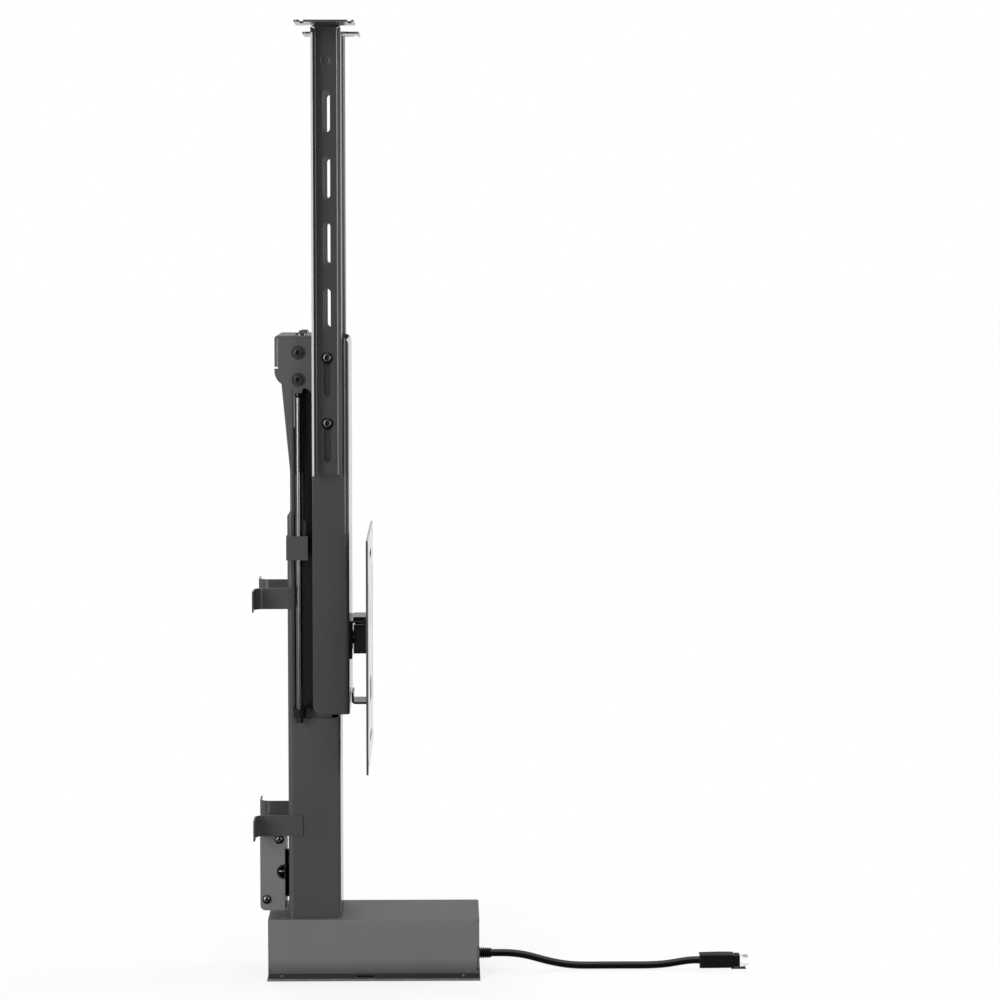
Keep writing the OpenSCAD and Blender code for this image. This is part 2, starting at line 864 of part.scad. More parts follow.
// Outline of the inner column's bore in plan, taken in by a gap
module inner_bore(gap) {
    wall = inner_t + gap;
    half = inner_w / 2 - wall;
    round_rect(inner_x0 + wall, inner_x1 - wall, -half, half, column_r - inner_t + 0.5);
}

// Rear rail: channel along the inner column's back
module rear_rail() {
    half = rail_w / 2;
    color(column_paint) upright(inner_bottom, rear_rail_top) difference() {
        round_rect(rail_x0, rail_x0 + 2 * rail_flange, -half, half, 1.5);
        translate([inner_x0, -half + rail_t]) square([column_d, rail_w - 2 * rail_t]);
        translate([rail_x0 + rail_flange, -column_w]) square([column_d, 2 * column_w]);
    }
}

// Front rail, along which the carriage's guides run
module front_rail() {
    half = rail_w / 2;
    color(column_paint)
        block(inner_x1, inner_x1 + front_rail_t, -half, half, front_rail_bottom, front_rail_top);
}

// Points along an arc from angle a0 to a1
function arc(cx, cy, r, a0, a1, n) =
    [for (i = [0:n]) let (a = a0 + (a1 - a0) * i / n) [cx + r * cos(a), cy + r * sin(a)]];

// Head bracket: one folded sheet over the inner column's top, with a tapered tail down each side
module head_bracket() {
    fold_r = 3.5;
    in_y = cheek_y - head_t;
    low = arm_bottom - 10;
    color(column_paint) difference() {
        intersection() {
            union() {
                along(head_back, cheek_front) difference() {
                    round_rect(-cheek_y, cheek_y, low, head_top, fold_r);
                    round_rect(-in_y, in_y, low - 10, head_top - head_t, fold_r - head_t);
                }
                block(head_back, head_back + head_t, -in_y, in_y, slit_z, head_top - head_t);
            }
            across(-cheek_y, cheek_y) polygon(cheek_outline());
            union() {
                upright(slit_z, head_top)
                    round_rect(head_back, cheek_front + 2 * fold_r, -cheek_y, cheek_y, fold_r);
                block(head_back, cheek_front, -cheek_y, cheek_y, low, slit_z);
            }
        }
        block(head_back - 1, head_back + slit_l, -cheek_y - 1, cheek_y + 1, slit_z - slit_h, slit_z);
        for (z = head_screw_z)
            bar_y(head_screw_x, -cheek_y - 1, cheek_y + 1, z, head_screw_d + 2 * hole_gap);
        both_sides() bar_z(head_bolt_x, head_bolt_y, inner_top - 1, head_top + 1, head_bolt_d + 2 * hole_gap);
    }
}

// Side outline of a cheek: tail, tongue over the stop rod, and a short front leg
function cheek_outline() = concat(
    arc(head_back + corner_r, head_top - corner_r, corner_r, 180, 90, 4),
    [[cheek_front, head_top], [cheek_front, leg_z], [carriage_x0, leg_z]],
    arc(carriage_x0 - cut_r, cut_z - cut_r, cut_r, 0, 90, 6),
    [[rod_x + 5, cut_z], [rod_x + 3.2, tip_top + 0.1], [rod_x - 3.2, tip_top + 0.1], [tail_x1, cut_z],
        [tail_x1, arm_bottom], [tail_x0, arm_bottom]],
    arc(head_back + shoulder_r, slit_z - slit_h - 2, shoulder_r, 236, 180, 6)
);

// Blocks between the inner column and the cheeks, tapped for the head screws and the head bolts
module head_blocks() {
    top = inner_top - block_drop;
    color(bare_steel) both_sides() difference() {
        union() {
            block(inner_x0, block_x1, inner_w / 2, cheek_y - head_t, block_z0, top);
            block(inner_x0, head_bolt_x + head_bolt_d, inner_w / 2, cheek_y - head_t,
                pulley_z + pulley_rim + 2, top);
        }
        bar_z(head_bolt_x, head_bolt_y, top - 11, top + 1, head_bolt_d + 2 * turn_gap);
        for (z = head_screw_z) bar_y(head_screw_x, inner_w / 2 + 4, cheek_y, z, head_screw_d);
    }
}

module head_screws() {
    color(black_part) both_sides() for (z = head_screw_z)
        button_screw(head_screw_x, cheek_y + washer_t, z, head_screw_d, 14, head_screw_d * 1.6, 3.2);
}

module head_washers() {
    color(column_paint) both_sides() for (z = head_screw_z) difference() {
        bar_y(head_screw_x, cheek_y, cheek_y + washer_t, z, washer_d);
        bar_y(head_screw_x, cheek_y - 1, cheek_y + washer_t + 1, z, head_screw_d);
    }
}

// Cap inside the inner column's top, under the head bracket
module column_cap() {
    cap_h = 18;
    color(bare_steel) upright(inner_top - cap_h, inner_top) inner_bore(0.1);
}

// Button head bolts on the head bracket's top, one above each head block
module head_bolt() {
    color(black_part) both_sides() translate([head_bolt_x, head_bolt_y, head_top]) rotate([90, 0, 0])
        button_screw(0, 0, 0, head_bolt_d, 10, 2 * head_bolt_d, 3.2);
}

// Pins of the two pulleys, between the column and the cheeks
module pulley_pins() {
    color(bare_steel) both_sides() {
        bar_y(0, inner_w / 2 - inner_t, cheek_y - head_t, pulley_z, pin_d);
        bar_y(0, inner_w / 2, belt_y - pulley_l / 2 - 0.3, pulley_z, pin_d + 4);
        bar_y(0, belt_y + pulley_l / 2 + 0.3, cheek_y - head_t, pulley_z, pin_d + 4);
    }
}

// Belt pulley with two rims
module pulley() {
    translate([0, belt_y, pulley_z]) rotate([-90, 0, 0]) rotate_extrude() polygon([
        [pin_d / 2 + turn_gap, -pulley_l / 2], [pulley_rim, -pulley_l / 2], [pulley_rim, -belt_w / 2 - 0.7],
        [pulley_r, -belt_w / 2 - 0.2], [pulley_r, belt_w / 2 + 0.2], [pulley_rim, belt_w / 2 + 0.7],
        [pulley_rim, pulley_l / 2], [pin_d / 2 + turn_gap, pulley_l / 2]
    ]);
}

module pulley_right() {
    color(black_part) pulley();
}

module pulley_left() {
    color(black_part) left_side() pulley();
}

// Plate inside the inner column's foot that holds the nut
module nut_carrier() {
    color(bare_steel) difference() {
        upright(nut_z, nut_z + nut_h - 6) inner_bore(0.1);
        bar_z(0, 0, nut_z - 1, nut_z + nut_h, nut_d + 2 * turn_gap);
    }
}

// Brass nut on the spindle
module spindle_nut() {
    color(brass_part) difference() {
        union() {
            bar_z(0, 0, nut_z, nut_z + nut_h, nut_d);
            bar_z(0, 0, nut_z - 4, nut_z, nut_d + 8);
        }
        bar_z(0, 0, nut_z - 5, nut_z + nut_h + 1, spindle_d + 2 * turn_gap);
    }
}

// Carriage: folded sheet that opens to the rear
module carriage_shell() {
    color(column_paint) difference() {
        intersection() {
            upright(carriage_bottom, carriage_top) difference() {
                round_rect(carriage_x0 - 20, carriage_x1, -carriage_y, carriage_y, carriage_r);
                round_rect(carriage_x0 - 30, web_x, -carriage_in_y, carriage_in_y, carriage_r - carriage_t);
            }
            across(-carriage_y, carriage_y) polygon(concat(
                [[carriage_x0, carriage_top]],
                arc(carriage_x1 - carriage_top_r, carriage_top - carriage_top_r, carriage_top_r, 90, 0, 6),
                [[carriage_x1, carriage_bottom]],
                arc(carriage_x0 + carriage_rear_r, carriage_bottom + carriage_rear_r, carriage_rear_r,
                    270, 180, 6)
            ));
        }
        for (z = arm_screw_z) bar_y(arm_xc, -carriage_y - 1, carriage_y + 1, z, arm_screw_d + 2 * turn_gap);
        for (z = slide_z, y = [-guide_screw_y, guide_screw_y]) translate([web_x, y, z + slide_h / 2])
            rotate([0, 90, 0]) translate([0, 0, -1]) rotate_extrude() polygon([
                [0, 0], [guide_screw_d / 2, 0], [guide_screw_d / 2, 1],
                [guide_sink_d / 2, 1 + carriage_t], [guide_sink_d / 2, 3 + carriage_t], [0, 3 + carriage_t]
            ]);
        for (y = hook_screw_y()) bar_x(web_x - 1, carriage_x1 + 1, y, hook_screw_z(), guide_screw_d);
    }
}

// Sliding guides of the carriage: they wrap the front rail
module carriage_guides() {
    y_in = rail_w / 2 + slide_gap;
    x_back = inner_x1 - slide_gap - lip_t;
    color(black_part) for (z = slide_z) difference() {
        upright(z, z + slide_h) difference() {
            round_rect(x_back, web_x, -slide_w / 2, slide_w / 2, 1);
            translate([inner_x1 - slide_gap, -y_in]) square([front_rail_t + 2 * slide_gap, 2 * y_in]);
            translate([x_back - 1, -inner_w / 2 - 1]) square([lip_t + slide_gap + 2, inner_w + 2]);
        }
        for (y = [-guide_screw_y, guide_screw_y])
            bar_x(web_x - 6, web_x + 1, y, z + slide_h / 2, guide_screw_d);
    }
}

// Screws on the carriage's front, for the guides and for the hook bracket
module carriage_screws() {
    color(black_part) {
        for (z = slide_z, y = [-guide_screw_y, guide_screw_y]) sunk_screw(y, z + slide_h / 2);
        for (y = hook_screw_y()) front_screw(carriage_x1 + hook_t, y, hook_screw_z());
    }
}

// Countersunk screw along X, flush with the carriage's front
module sunk_screw(y, z) {
    socket_d = guide_screw_d / 2;
    translate([web_x, y, z]) rotate([0, 90, 0]) difference() {
        union() {
            translate([0, 0, -5]) cylinder(h = 5, d = guide_screw_d);
            cylinder(h = carriage_t, d1 = guide_screw_d, d2 = guide_sink_d);
        }
        translate([0, 0, carriage_t - 1]) cylinder(h = 2, d = socket_d * 1.1, $fn = 6);
    }
}

// Button head screw along X with its seat at x
module front_screw(x, y, z) {
    shank_l = x - web_x + 5;
    translate([x, 0, 0]) rotate([0, 0, -90])
        button_screw(-y, 0, z, guide_screw_d, shank_l, 2 * guide_screw_d, guide_screw_d / 2);
}

// Anchors on the carriage's sides for the belts' lifting ends
module belt_anchors() {
    color(bare_steel) both_sides() difference() {
        block(front_belt_x - 3.5, front_belt_x + 3.5, belt_y - belt_w / 2 - 1.5, carriage_in_y,
            anchor_z, anchor_z + anchor_h);
        block(front_belt_x - belt_t / 2, front_belt_x + belt_t / 2, belt_y - belt_w / 2, belt_y + belt_w / 2,
            anchor_z + 4, anchor_z + anchor_h + 1);
    }
}

// Belts' stretch between the carriage's anchors and the pulleys
module lifting_belts() {
    color(black_part) both_sides() block(front_belt_x - belt_t / 2, front_belt_x + belt_t / 2,
        belt_y - belt_w / 2, belt_y + belt_w / 2, anchor_z + 4, pulley_z);
}

// Hook bracket on the carriage's front: back plate and a shelf with a lip
module hook_bracket() {
    half = hook_w / 2;
    x1 = carriage_x1 + hook_reach;
    color(black_part) difference() {
        union() {
            block(carriage_x1, carriage_x1 + hook_t, -half, half, hook_z0, hook_z1);
            block(carriage_x1, x1, -half, half, hook_z1, hook_z1 + hook_t);
            block(x1 - hook_t, x1, -half, half, hook_z1 - 2, hook_z1 + hook_t);
        }
        for (y = hook_screw_y())
            bar_x(carriage_x1 - 1, carriage_x1 + hook_t + 1, y, hook_screw_z(), guide_screw_d);
    }
}
function hook_screw_y() = [-half_hook(), half_hook()];
function half_hook() = hook_w / 2 - 7;
function hook_screw_z() = (hook_z0 + hook_z1) / 2;

// Hanger behind the television plate: two cheeks and a lip that lies on the hook's shelf
module plate_hanger() {
    half = hanger_w / 2;
    lip_x0 = carriage_x1 + hook_t + 0.6;
    cheek_x0 = carriage_x1 + hook_t + 1;
    color(column_paint) {
        block(plate_x - hook_t, plate_x, -half, half, hanger_z0, lip_z);
        both_sides() block(cheek_x0, plate_x - hook_t, half - hook_t, half, hanger_z0, hanger_cheek_z1);
        block(lip_x0, plate_x - hook_t, -half, half, lip_z - hook_t, lip_z);
    }
}

// Plate for the television, with a lanced tab that bears on the carriage
module television_plate() {
    half = plate_size / 2;
    z0 = plate_z - half;
    x1 = plate_x + plate_t;
    color(column_paint) {
        difference() {
            along(plate_x, x1) round_rect(-half, half, z0, z0 + plate_size, plate_corner);
            block(plate_x - 1, x1 + 1, -tab_w / 2 - 1, tab_w / 2 + 1,
                tab_z + plate_t, tab_z + plate_t + window_h);
            block(plate_x - 1, x1 + 1, -3.5, 3.5, hanger_z0 + 24, hanger_z0 + 45);
            for (p = [vesa_large, vesa_small], y = [-p / 2, p / 2], z = [-p / 2, p / 2])
                bar_x(plate_x - 1, x1 + 1, y, plate_z + z, p == vesa_large ? vesa_hole_d : small_hole_d);
            for (s = [-1, 1]) translate([0, s * (half - 20), 0]) along(plate_x - 1, x1 + 1)
                round_rect(-3.3, 3.3, plate_z - plate_slot, plate_z + plate_slot, 3.2);
            for (s = [-1, 1]) along(plate_x - 1, x1 + 1)
                round_rect(-30, 30, plate_z + s * (half - 22) - 3.3, plate_z + s * (half - 22) + 3.3, 3.2);
        }
        across(-tab_w / 2, tab_w / 2) difference() {
            round_rect(tab_x, plate_x + 10, tab_z, tab_z + 3 * tab_rise, plate_t + 1.5);
            round_rect(tab_x + plate_t, plate_x + 20, tab_z + plate_t, tab_z + 4 * tab_rise, 1.5);
            translate([tab_x - 1, tab_z + tab_rise]) square([plate_size, plate_size]);
            translate([plate_x, 0]) square([plate_size, 2 * plate_size]);
        }
    }
}

// Spacer rings between the carriage and the arms' webs
module arm_spacers() {
    color(black_part) both_sides() for (z = arm_screw_z) difference() {
        bar_y(arm_xc, carriage_y, carriage_y + spacer_t, z, spacer_d);
        bar_y(arm_xc, carriage_y - 1, carriage_y + spacer_t + 1, z, arm_screw_d + 2 * turn_gap);
    }
}

// Button head screws that hold the arms through their slots
module arm_screws() {
    seat = arm_y0 + arm_t + 0.15;
    color(black_part) both_sides() for (z = arm_screw_z)
        button_screw(arm_xc, seat, z, arm_screw_d, seat - carriage_in_y, arm_head_d, 3.3);
}

// Lid arm: channel with its slotted web at the carriage and its flanges outwards, under a bent lid plate
module lid_arm() {
    x1 = arm_x0 + arm_w;
    plate_x0 = arm_xc - lid_l / 2;
    plate_x1 = arm_xc + lid_l / 2;
    color(column_paint) difference() {
        union() {
            upright(arm_bottom, web_top) intersection() {
                difference() {
                    round_rect(arm_x0, x1, arm_y0, arm_y0 + 2 * arm_d, arm_r);
                    round_rect(arm_x0 + arm_t, x1 - arm_t, arm_y0 + arm_t, arm_y0 + 3 * arm_d, arm_r - arm_t);
                }
                translate([arm_x0, arm_y0]) square([arm_w, arm_d]);
            }
            intersection() {
                along(plate_x0, plate_x1) intersection() {
                    difference() {
                        round_rect(arm_y0, arm_y0 + lid_reach, lid_z - 10 * neck_r, lid_z, neck_r);
                        round_rect(arm_y0 + arm_t, arm_y0 + 2 * lid_reach, lid_z - 12 * neck_r,
                            lid_z - arm_t, neck_r - arm_t);
                    }
                    translate([arm_y0, web_top]) square([2 * neck_r, neck_r]);
                }
                across(arm_y0, arm_y0 + 2 * neck_r) polygon([
                    [arm_xc - neck_w / 2, web_top], [arm_xc + neck_w / 2, web_top],
                    [arm_xc + neck_flare_w / 2, lid_z], [arm_xc - neck_flare_w / 2, lid_z]
                ]);
            }
            upright(lid_z - arm_t, lid_z) round_rect(plate_x0, plate_x1, arm_y0 + 1.6 * neck_r, lid_edge_y, 3);
        }
        for (i = [0:slot_count - 1]) {
            top = first_slot_top + i * slot_pitch;
            across(arm_y0 - 1, arm_y0 + arm_t + 1)
                round_rect(arm_xc - slot_w / 2, arm_xc + slot_w / 2, top - slot_l, top, slot_w / 2 - 0.01);
        }
        bar_y(arm_xc, arm_y0 + arm_t - 0.5, arm_y0 + arm_t + 1, dimple_z, dimple_d);
        for (x = [plate_x0 + 7, plate_x1 - 4])
            block(x - lid_slot_w / 2, x + lid_slot_w / 2, lid_edge_y - 24, lid_edge_y + 1,
                lid_z - arm_t - 1, lid_z + 1);
        for (x = [arm_xc - lid_hole_pitch / 2, arm_xc + lid_hole_pitch / 2])
            bar_z(x, lid_edge_y - lid_hole_inset, lid_z - arm_t - 1, lid_z + 1, lid_hole_d);
    }
}

module lid_arm_right() {
    lid_arm();
}

module lid_arm_left() {
    left_side() lid_arm();
}

// Ribbed strain relief in the foot's front panel
module strain_relief() {
    ribs = 6;
    pitch = (relief_l - 0.5) / ribs;
    neck_d = relief_d - 2.4;
    color(black_part) {
        bar_x(foot_x1 - cover_t, foot_x1, 0, relief_z, relief_neck_d);
        bar_x(foot_x1 - cover_t - 2, foot_x1 - cover_t, 0, relief_z, relief_d);
        bar_x(foot_x1, relief_x1, 0, relief_z, neck_d);
        for (i = [0:ribs - 1]) bar_x(foot_x1 + i * pitch, foot_x1 + (i + 0.6) * pitch, 0, relief_z,
            relief_d - 0.2 * i);
    }
}

// Point on the cord's smooth route, t from 0 to the number of stretches
function route_at(t) = let (
        n = len(cord_route) - 1,
        i = min(floor(t), n - 1),
        u = t - i,
        p0 = cord_route[max(i - 1, 0)],
        p1 = cord_route[i],
        p2 = cord_route[i + 1],
        p3 = cord_route[min(i + 2, n)]
    ) 0.5 * (2 * p1 + (p2 - p0) * u + (2 * p0 - 5 * p1 + 4 * p2 - p3) * u * u
        + (3 * p1 - p0 - 3 * p2 + p3) * u * u * u);

// Cord: a tube swept along the route, its ends square to the strain relief and the connector
module cord() {
    sides = 10;
    last = len(cord_route) - 1;
    rings = [for (i = [0:last]) let (
            p = route_at(i),
            q = route_at(min(i + 0.1, last)) - route_at(max(i - 0.1, 0)),
            along_route = (i == 0 || i == last) ? [1, 0] : q / norm(q)
        ) [for (k = [0:sides - 1]) let (a = 360 * (k + 0.5) / sides) [
            p[0] - along_route[1] * sin(a) * cord_dia / 2,
            cos(a) * cord_dia / 2,
            p[1] + along_route[0] * sin(a) * cord_dia / 2
        ]]];
    color(black_part) polyhedron(
        points = [for (ring = rings) for (p = ring) p],
        faces = concat(
            [[for (k = [0:sides - 1]) k]],
            [for (i = [0:last - 1], k = [0:sides - 1]) each [
                [i * sides + k, (i + 1) * sides + k, (i + 1) * sides + (k + 1) % sides],
                [i * sides + k, (i + 1) * sides + (k + 1) % sides, i * sides + (k + 1) % sides]
            ]],
            [[for (k = [0:sides - 1]) last * sides + sides - 1 - k]]
        )
    );
}

// Moulded connector body with its collar and latch
module connector() {
    body_l = 33;
    body_w = 15;
    body_h = 14;
    collar_l = 6;
    collar_h = 11.6;
    x1 = connector_x + body_l;
    x2 = x1 + collar_l;
    latch_z = connector_z - body_h / 2 - 1.4;
    color(black_part) {
        intersection() {
            across(-body_w / 2, body_w / 2) polygon([
                [connector_x, connector_z - body_h / 2], [x1, connector_z - body_h / 2 + 0.6],
                [x1, connector_z + body_h / 2 - 0.4], [connector_x + 20, connector_z + body_h / 2],
                [connector_x, connector_z + body_h / 2 - 0.8]
            ]);
            along(connector_x, x1) round_rect(-body_w / 2, body_w / 2, connector_z - body_h / 2,
                connector_z + body_h / 2, 2);
        }
        along(x1, x2) round_rect(-body_w / 2 + 0.8, body_w / 2 - 0.8, connector_z - collar_h / 2,
            connector_z + collar_h / 2, 1);
        across(-3, 3) polygon([
            [x1 - 3, latch_z + 2.6], [x1 - 2, latch_z], [x2 + 6.4, latch_z], [x2 + 6.4, latch_z + 0.6],
            [x2 + 4.8, latch_z + 3], [x2 + 4.2, latch_z + 1.2], [x1 + 1, latch_z + 1.2], [x1 + 1, latch_z + 3]
        ]);
    }
}

// Clear modular tip of the connector
module connector_tip() {
    x0 = connector_x + 39;
    color(clear_part) difference() {
        along(x0, x0 + 8.5) round_rect(-5.8, 5.8, connector_z - 4.4, connector_z + 4.4, 0.4);
        for (i = [0:7])
            block(x0 + 3, x0 + 9, -4.2 + i * 1.1, -3.6 + i * 1.1, connector_z + 3.4, connector_z + 5);
    }
}

base_floor_plate();
base_cover();
base_front_panel();
base_rear_panel();
base_screws();
outer_column();
column_guides();
motor();
gearbox();
spindle_bearing();
spindle();
rod_clamp_left();
rod_clamp_right();
stop_rod_left();
stop_rod_right();
rod_tips();
rod_feet();
rod_nuts();
upper_strap_left();
upper_strap_right();
lower_strap_left();
lower_strap_right();
control_box_cover();
control_box_base();
control_box_screws();
cable_grommet();
control_board();
power_socket();
belt_fittings();
fixed_belts();
inner_column();
rear_rail();
front_rail();
head_bracket();
head_blocks();
head_screws();
head_washers();
column_cap();
head_bolt();
pulley_pins();
nut_carrier();
spindle_nut();
pulley_left();
pulley_right();
carriage_shell();
carriage_guides();
carriage_screws();
belt_anchors();
lifting_belts();
hook_bracket();
plate_hanger();
television_plate();
arm_spacers();
arm_screws();
lid_arm_left();
lid_arm_right();
strain_relief();
cord();
connector();
connector_tip();
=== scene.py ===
"""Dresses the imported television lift: camera, light, finishes, lead, belts and small parts."""

import json
import math

import bmesh
import bpy
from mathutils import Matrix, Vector


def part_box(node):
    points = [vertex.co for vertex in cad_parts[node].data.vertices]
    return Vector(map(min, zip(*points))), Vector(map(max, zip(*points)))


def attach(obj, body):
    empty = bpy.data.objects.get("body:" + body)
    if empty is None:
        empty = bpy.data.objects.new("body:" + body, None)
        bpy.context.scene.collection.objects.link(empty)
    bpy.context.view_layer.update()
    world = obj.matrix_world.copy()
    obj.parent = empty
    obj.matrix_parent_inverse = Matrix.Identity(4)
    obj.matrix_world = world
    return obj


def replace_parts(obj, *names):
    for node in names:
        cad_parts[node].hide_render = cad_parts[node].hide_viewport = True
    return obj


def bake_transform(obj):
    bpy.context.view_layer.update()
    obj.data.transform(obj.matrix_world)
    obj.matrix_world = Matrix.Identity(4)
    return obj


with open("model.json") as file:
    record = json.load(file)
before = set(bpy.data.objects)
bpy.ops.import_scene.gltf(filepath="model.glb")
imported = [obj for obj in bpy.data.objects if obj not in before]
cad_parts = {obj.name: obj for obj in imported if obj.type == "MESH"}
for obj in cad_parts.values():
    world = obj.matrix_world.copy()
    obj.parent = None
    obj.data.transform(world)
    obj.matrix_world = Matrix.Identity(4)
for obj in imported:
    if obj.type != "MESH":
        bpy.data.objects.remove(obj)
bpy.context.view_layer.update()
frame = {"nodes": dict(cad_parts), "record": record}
scene = bpy.context.scene

MM = 0.001
FULL_TURN = 2 * math.pi

# The camera
PHOTO = 1000        # the photograph's width and height in pixels
FOCAL_PX = 3400     # its focal length in pixels
SENSOR = 36         # the camera's sensor width in millimetres
CAMERA_PLACE = (0.1225, -3.257, 0.7222)
CAMERA_HEADING, CAMERA_DIP = 0.96, 4.64     # degrees from +Y towards +X, and downwards


def make_camera():
    data = bpy.data.cameras.new("camera")
    data.sensor_width = SENSOR
    data.lens = FOCAL_PX / PHOTO * SENSOR
    data.clip_start, data.clip_end = 0.1, 60
    camera = bpy.data.objects.new("camera", data)
    scene.collection.objects.link(camera)
    heading, dip = math.radians(CAMERA_HEADING), math.radians(CAMERA_DIP)
    level = math.cos(dip)
    ahead = Vector((math.sin(heading) * level, math.cos(heading) * level, -math.sin(dip)))
    camera.location = CAMERA_PLACE
    camera.rotation_mode = "QUATERNION"
    camera.rotation_quaternion = ahead.to_track_quat("-Z", "Y")
    scene.camera = camera


make_camera()


# Node trees
class Wire:
    """A socket of a node tree. Arithmetic on it adds Math nodes."""

    def __init__(self, tree, socket):
        self.tree, self.socket = tree, socket

    def sum(self, operation, a, b, clamp=False):
        return self.tree.node("ShaderNodeMath", {"operation": operation, "use_clamp": clamp}, {0: a, 1: b})

    def __add__(self, other):
        return self.sum("ADD", self, other)

    def __radd__(self, other):
        return self.sum("ADD", other, self)

    def __sub__(self, other):
        return self.sum("SUBTRACT", self, other)

    def __rsub__(self, other):
        return self.sum("SUBTRACT", other, self)

    def __mul__(self, other):
        return self.sum("MULTIPLY", self, other)

    def __rmul__(self, other):
        return self.sum("MULTIPLY", other, self)

    def __truediv__(self, other):
        return self.sum("DIVIDE", self, other)

    def above(self, other):
        """The larger of two."""
        return self.sum("MAXIMUM", self, other)

    def unsigned(self):
        """The value without its sign."""
        return self.above(-1 * self)

    def over(self, low, high):
        """Nought below low, one above high, straight between."""
        return self.sum("MULTIPLY", self.sum("SUBTRACT", self, low), 1 / (high - low), True)

    def axis(self, name):
        """One axis of a vector."""
        return self.tree.node("ShaderNodeSeparateXYZ", {}, {"Vector": self}, name)


class Tree:
    """A node tree whose nodes are all made by one method."""

    def __init__(self, tree):
        self.tree = tree
        tree.nodes.clear()

    def node(self, kind, settings=None, sockets=None, out=0):
        made = self.tree.nodes.new(kind)
        for key, value in (settings or {}).items():
            setattr(made, key, value)
        for key, value in (sockets or {}).items():
            if isinstance(value, Wire):
                self.tree.links.new(value.socket, made.inputs[key])
            else:
                made.inputs[key].default_value = value
        return Wire(self, made.outputs[out]) if made.outputs else None

    def rays(self):
        """Whether a ray comes from the camera, from a reflection or through something clear."""
        return [self.node("ShaderNodeLightPath", out=f"Is {kind} Ray")
                for kind in ("Camera", "Glossy", "Transmission")]


class Finish(Tree):
    """A material."""

    def __init__(self, name):
        self.material = bpy.data.materials.new(name)
        self.material.use_nodes = True
        super().__init__(self.material.node_tree)

    def place(self):
        """Where a point lies in the shared frame, in metres."""
        return self.node("ShaderNodeTexCoord", out="Object")

    def distance(self, point, scale):
        """How far a place lies from a point, once the axes are scaled."""
        moved = self.node("ShaderNodeMapping", {}, {
            "Vector": self.place(), "Location": [-value for value in point], "Scale": scale})
        return self.node("ShaderNodeVectorMath", {"operation": "LENGTH"}, {0: moved}, "Value")

    def noise(self, scale, detail, place=None):
        """Noise with about scale lumps a metre."""
        return self.node("ShaderNodeTexNoise", {}, {
            "Vector": place or self.place(), "Scale": scale, "Detail": detail, "Roughness": 0.55}, "Fac")

    def blend(self, amount, low, high):
        """A colour between two, by an amount."""
        return self.node("ShaderNodeMix", {"data_type": "RGBA"}, {0: amount, 6: low, 7: high}, 2)

    def clouded(self, pattern, shade, low, high, warm=0.0):
        """A grey that a pattern takes from one share of its shade to another."""
        return self.blend(pattern, grey(shade * low, warm), grey(shade * high, warm))

    def varied(self, middle, spread, pattern):
        """A value that a pattern moves up and down."""
        return middle - spread / 2 + spread * pattern

    def edges(self, radius):
        """Normals that round the sheet's edges off by a radius."""
        return self.node("ShaderNodeBevel", {"samples": 4}, {"Radius": radius})

    def bump(self, height, strength, distance, normal=None):
        sockets = {"Height": height, "Strength": strength, "Distance": distance}
        if normal:
            sockets["Normal"] = normal
        return self.node("ShaderNodeBump", {}, sockets)

    def surface(self, **sockets):
        """The shader itself: names with underscores for the spaces of the shader's sockets."""
        shader = self.node("ShaderNodeBsdfPrincipled", {}, {
            key.replace("_", " "): value for key, value in sockets.items()})
        self.node("ShaderNodeOutputMaterial", {}, {"Surface": shader})
        return self.material


def grey(value, warm=0.0):
    """A grey, or a warmer colour with more red and less blue."""
    return (value * (1 + warm), value, value * (1 - warm), 1)


# Finishes: the two paints' shades, and how far the coating rounds a sheet's edges
DARK, FOOT = 0.058, 0.125
EDGE = 0.4 * MM
COAT_GRAIN = 2200       # lumps a metre in the coating
COAT_BUMP = 0.1 * MM

# The foot: its floor plate's rim, above which the upstand is painted black as shade, and the painted shade
# along the cover's lower edge, where the floor shades it
RIM_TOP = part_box("base_floor_plate")[0].z + 2 * MM
PAINTED_SHADE_TOP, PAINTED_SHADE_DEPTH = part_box("base_cover")[0].z + 14 * MM, 16 * MM

# The arms: the cut edges of their rear flanges, which carry a painted highlight, and the dimples in their
# webs
FLANGE_HIGHLIGHT_FROM_MIDDLE, FLANGE_HIGHLIGHT_TO_X = 81.3 * MM, 2 * MM
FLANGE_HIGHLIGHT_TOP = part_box("lid_arm_right")[1].z - 9 * MM
DIMPLE = (13.8 * MM, 0, 874.2 * MM)
DIMPLE_RISE, DIMPLE_FALL = (2.5 * MM, 4 * MM), (4.6 * MM, 5.4 * MM)
DIMPLE_DEPTH = 0.25 * MM


def flange_edge_highlight(f):
    """One on the cut edges of the arms' rear flanges, where a highlight is painted, nought elsewhere."""
    x, y, z = (f.place().axis(name) for name in "XYZ")
    fade = 0.1 * MM
    outside = y.unsigned().over(FLANGE_HIGHLIGHT_FROM_MIDDLE - fade, FLANGE_HIGHLIGHT_FROM_MIDDLE)
    behind = 1 - x.over(FLANGE_HIGHLIGHT_TO_X - fade, FLANGE_HIGHLIGHT_TO_X)
    below = 1 - z.over(FLANGE_HIGHLIGHT_TOP - fade, FLANGE_HIGHLIGHT_TOP)
    return outside * behind * below


def dimple_ring(f):
    """A raised ring round the dimples in the arms' webs."""
    away = f.distance(DIMPLE, (1, 0, 1))
    return away.over(*DIMPLE_RISE) * (1 - away.over(*DIMPLE_FALL))


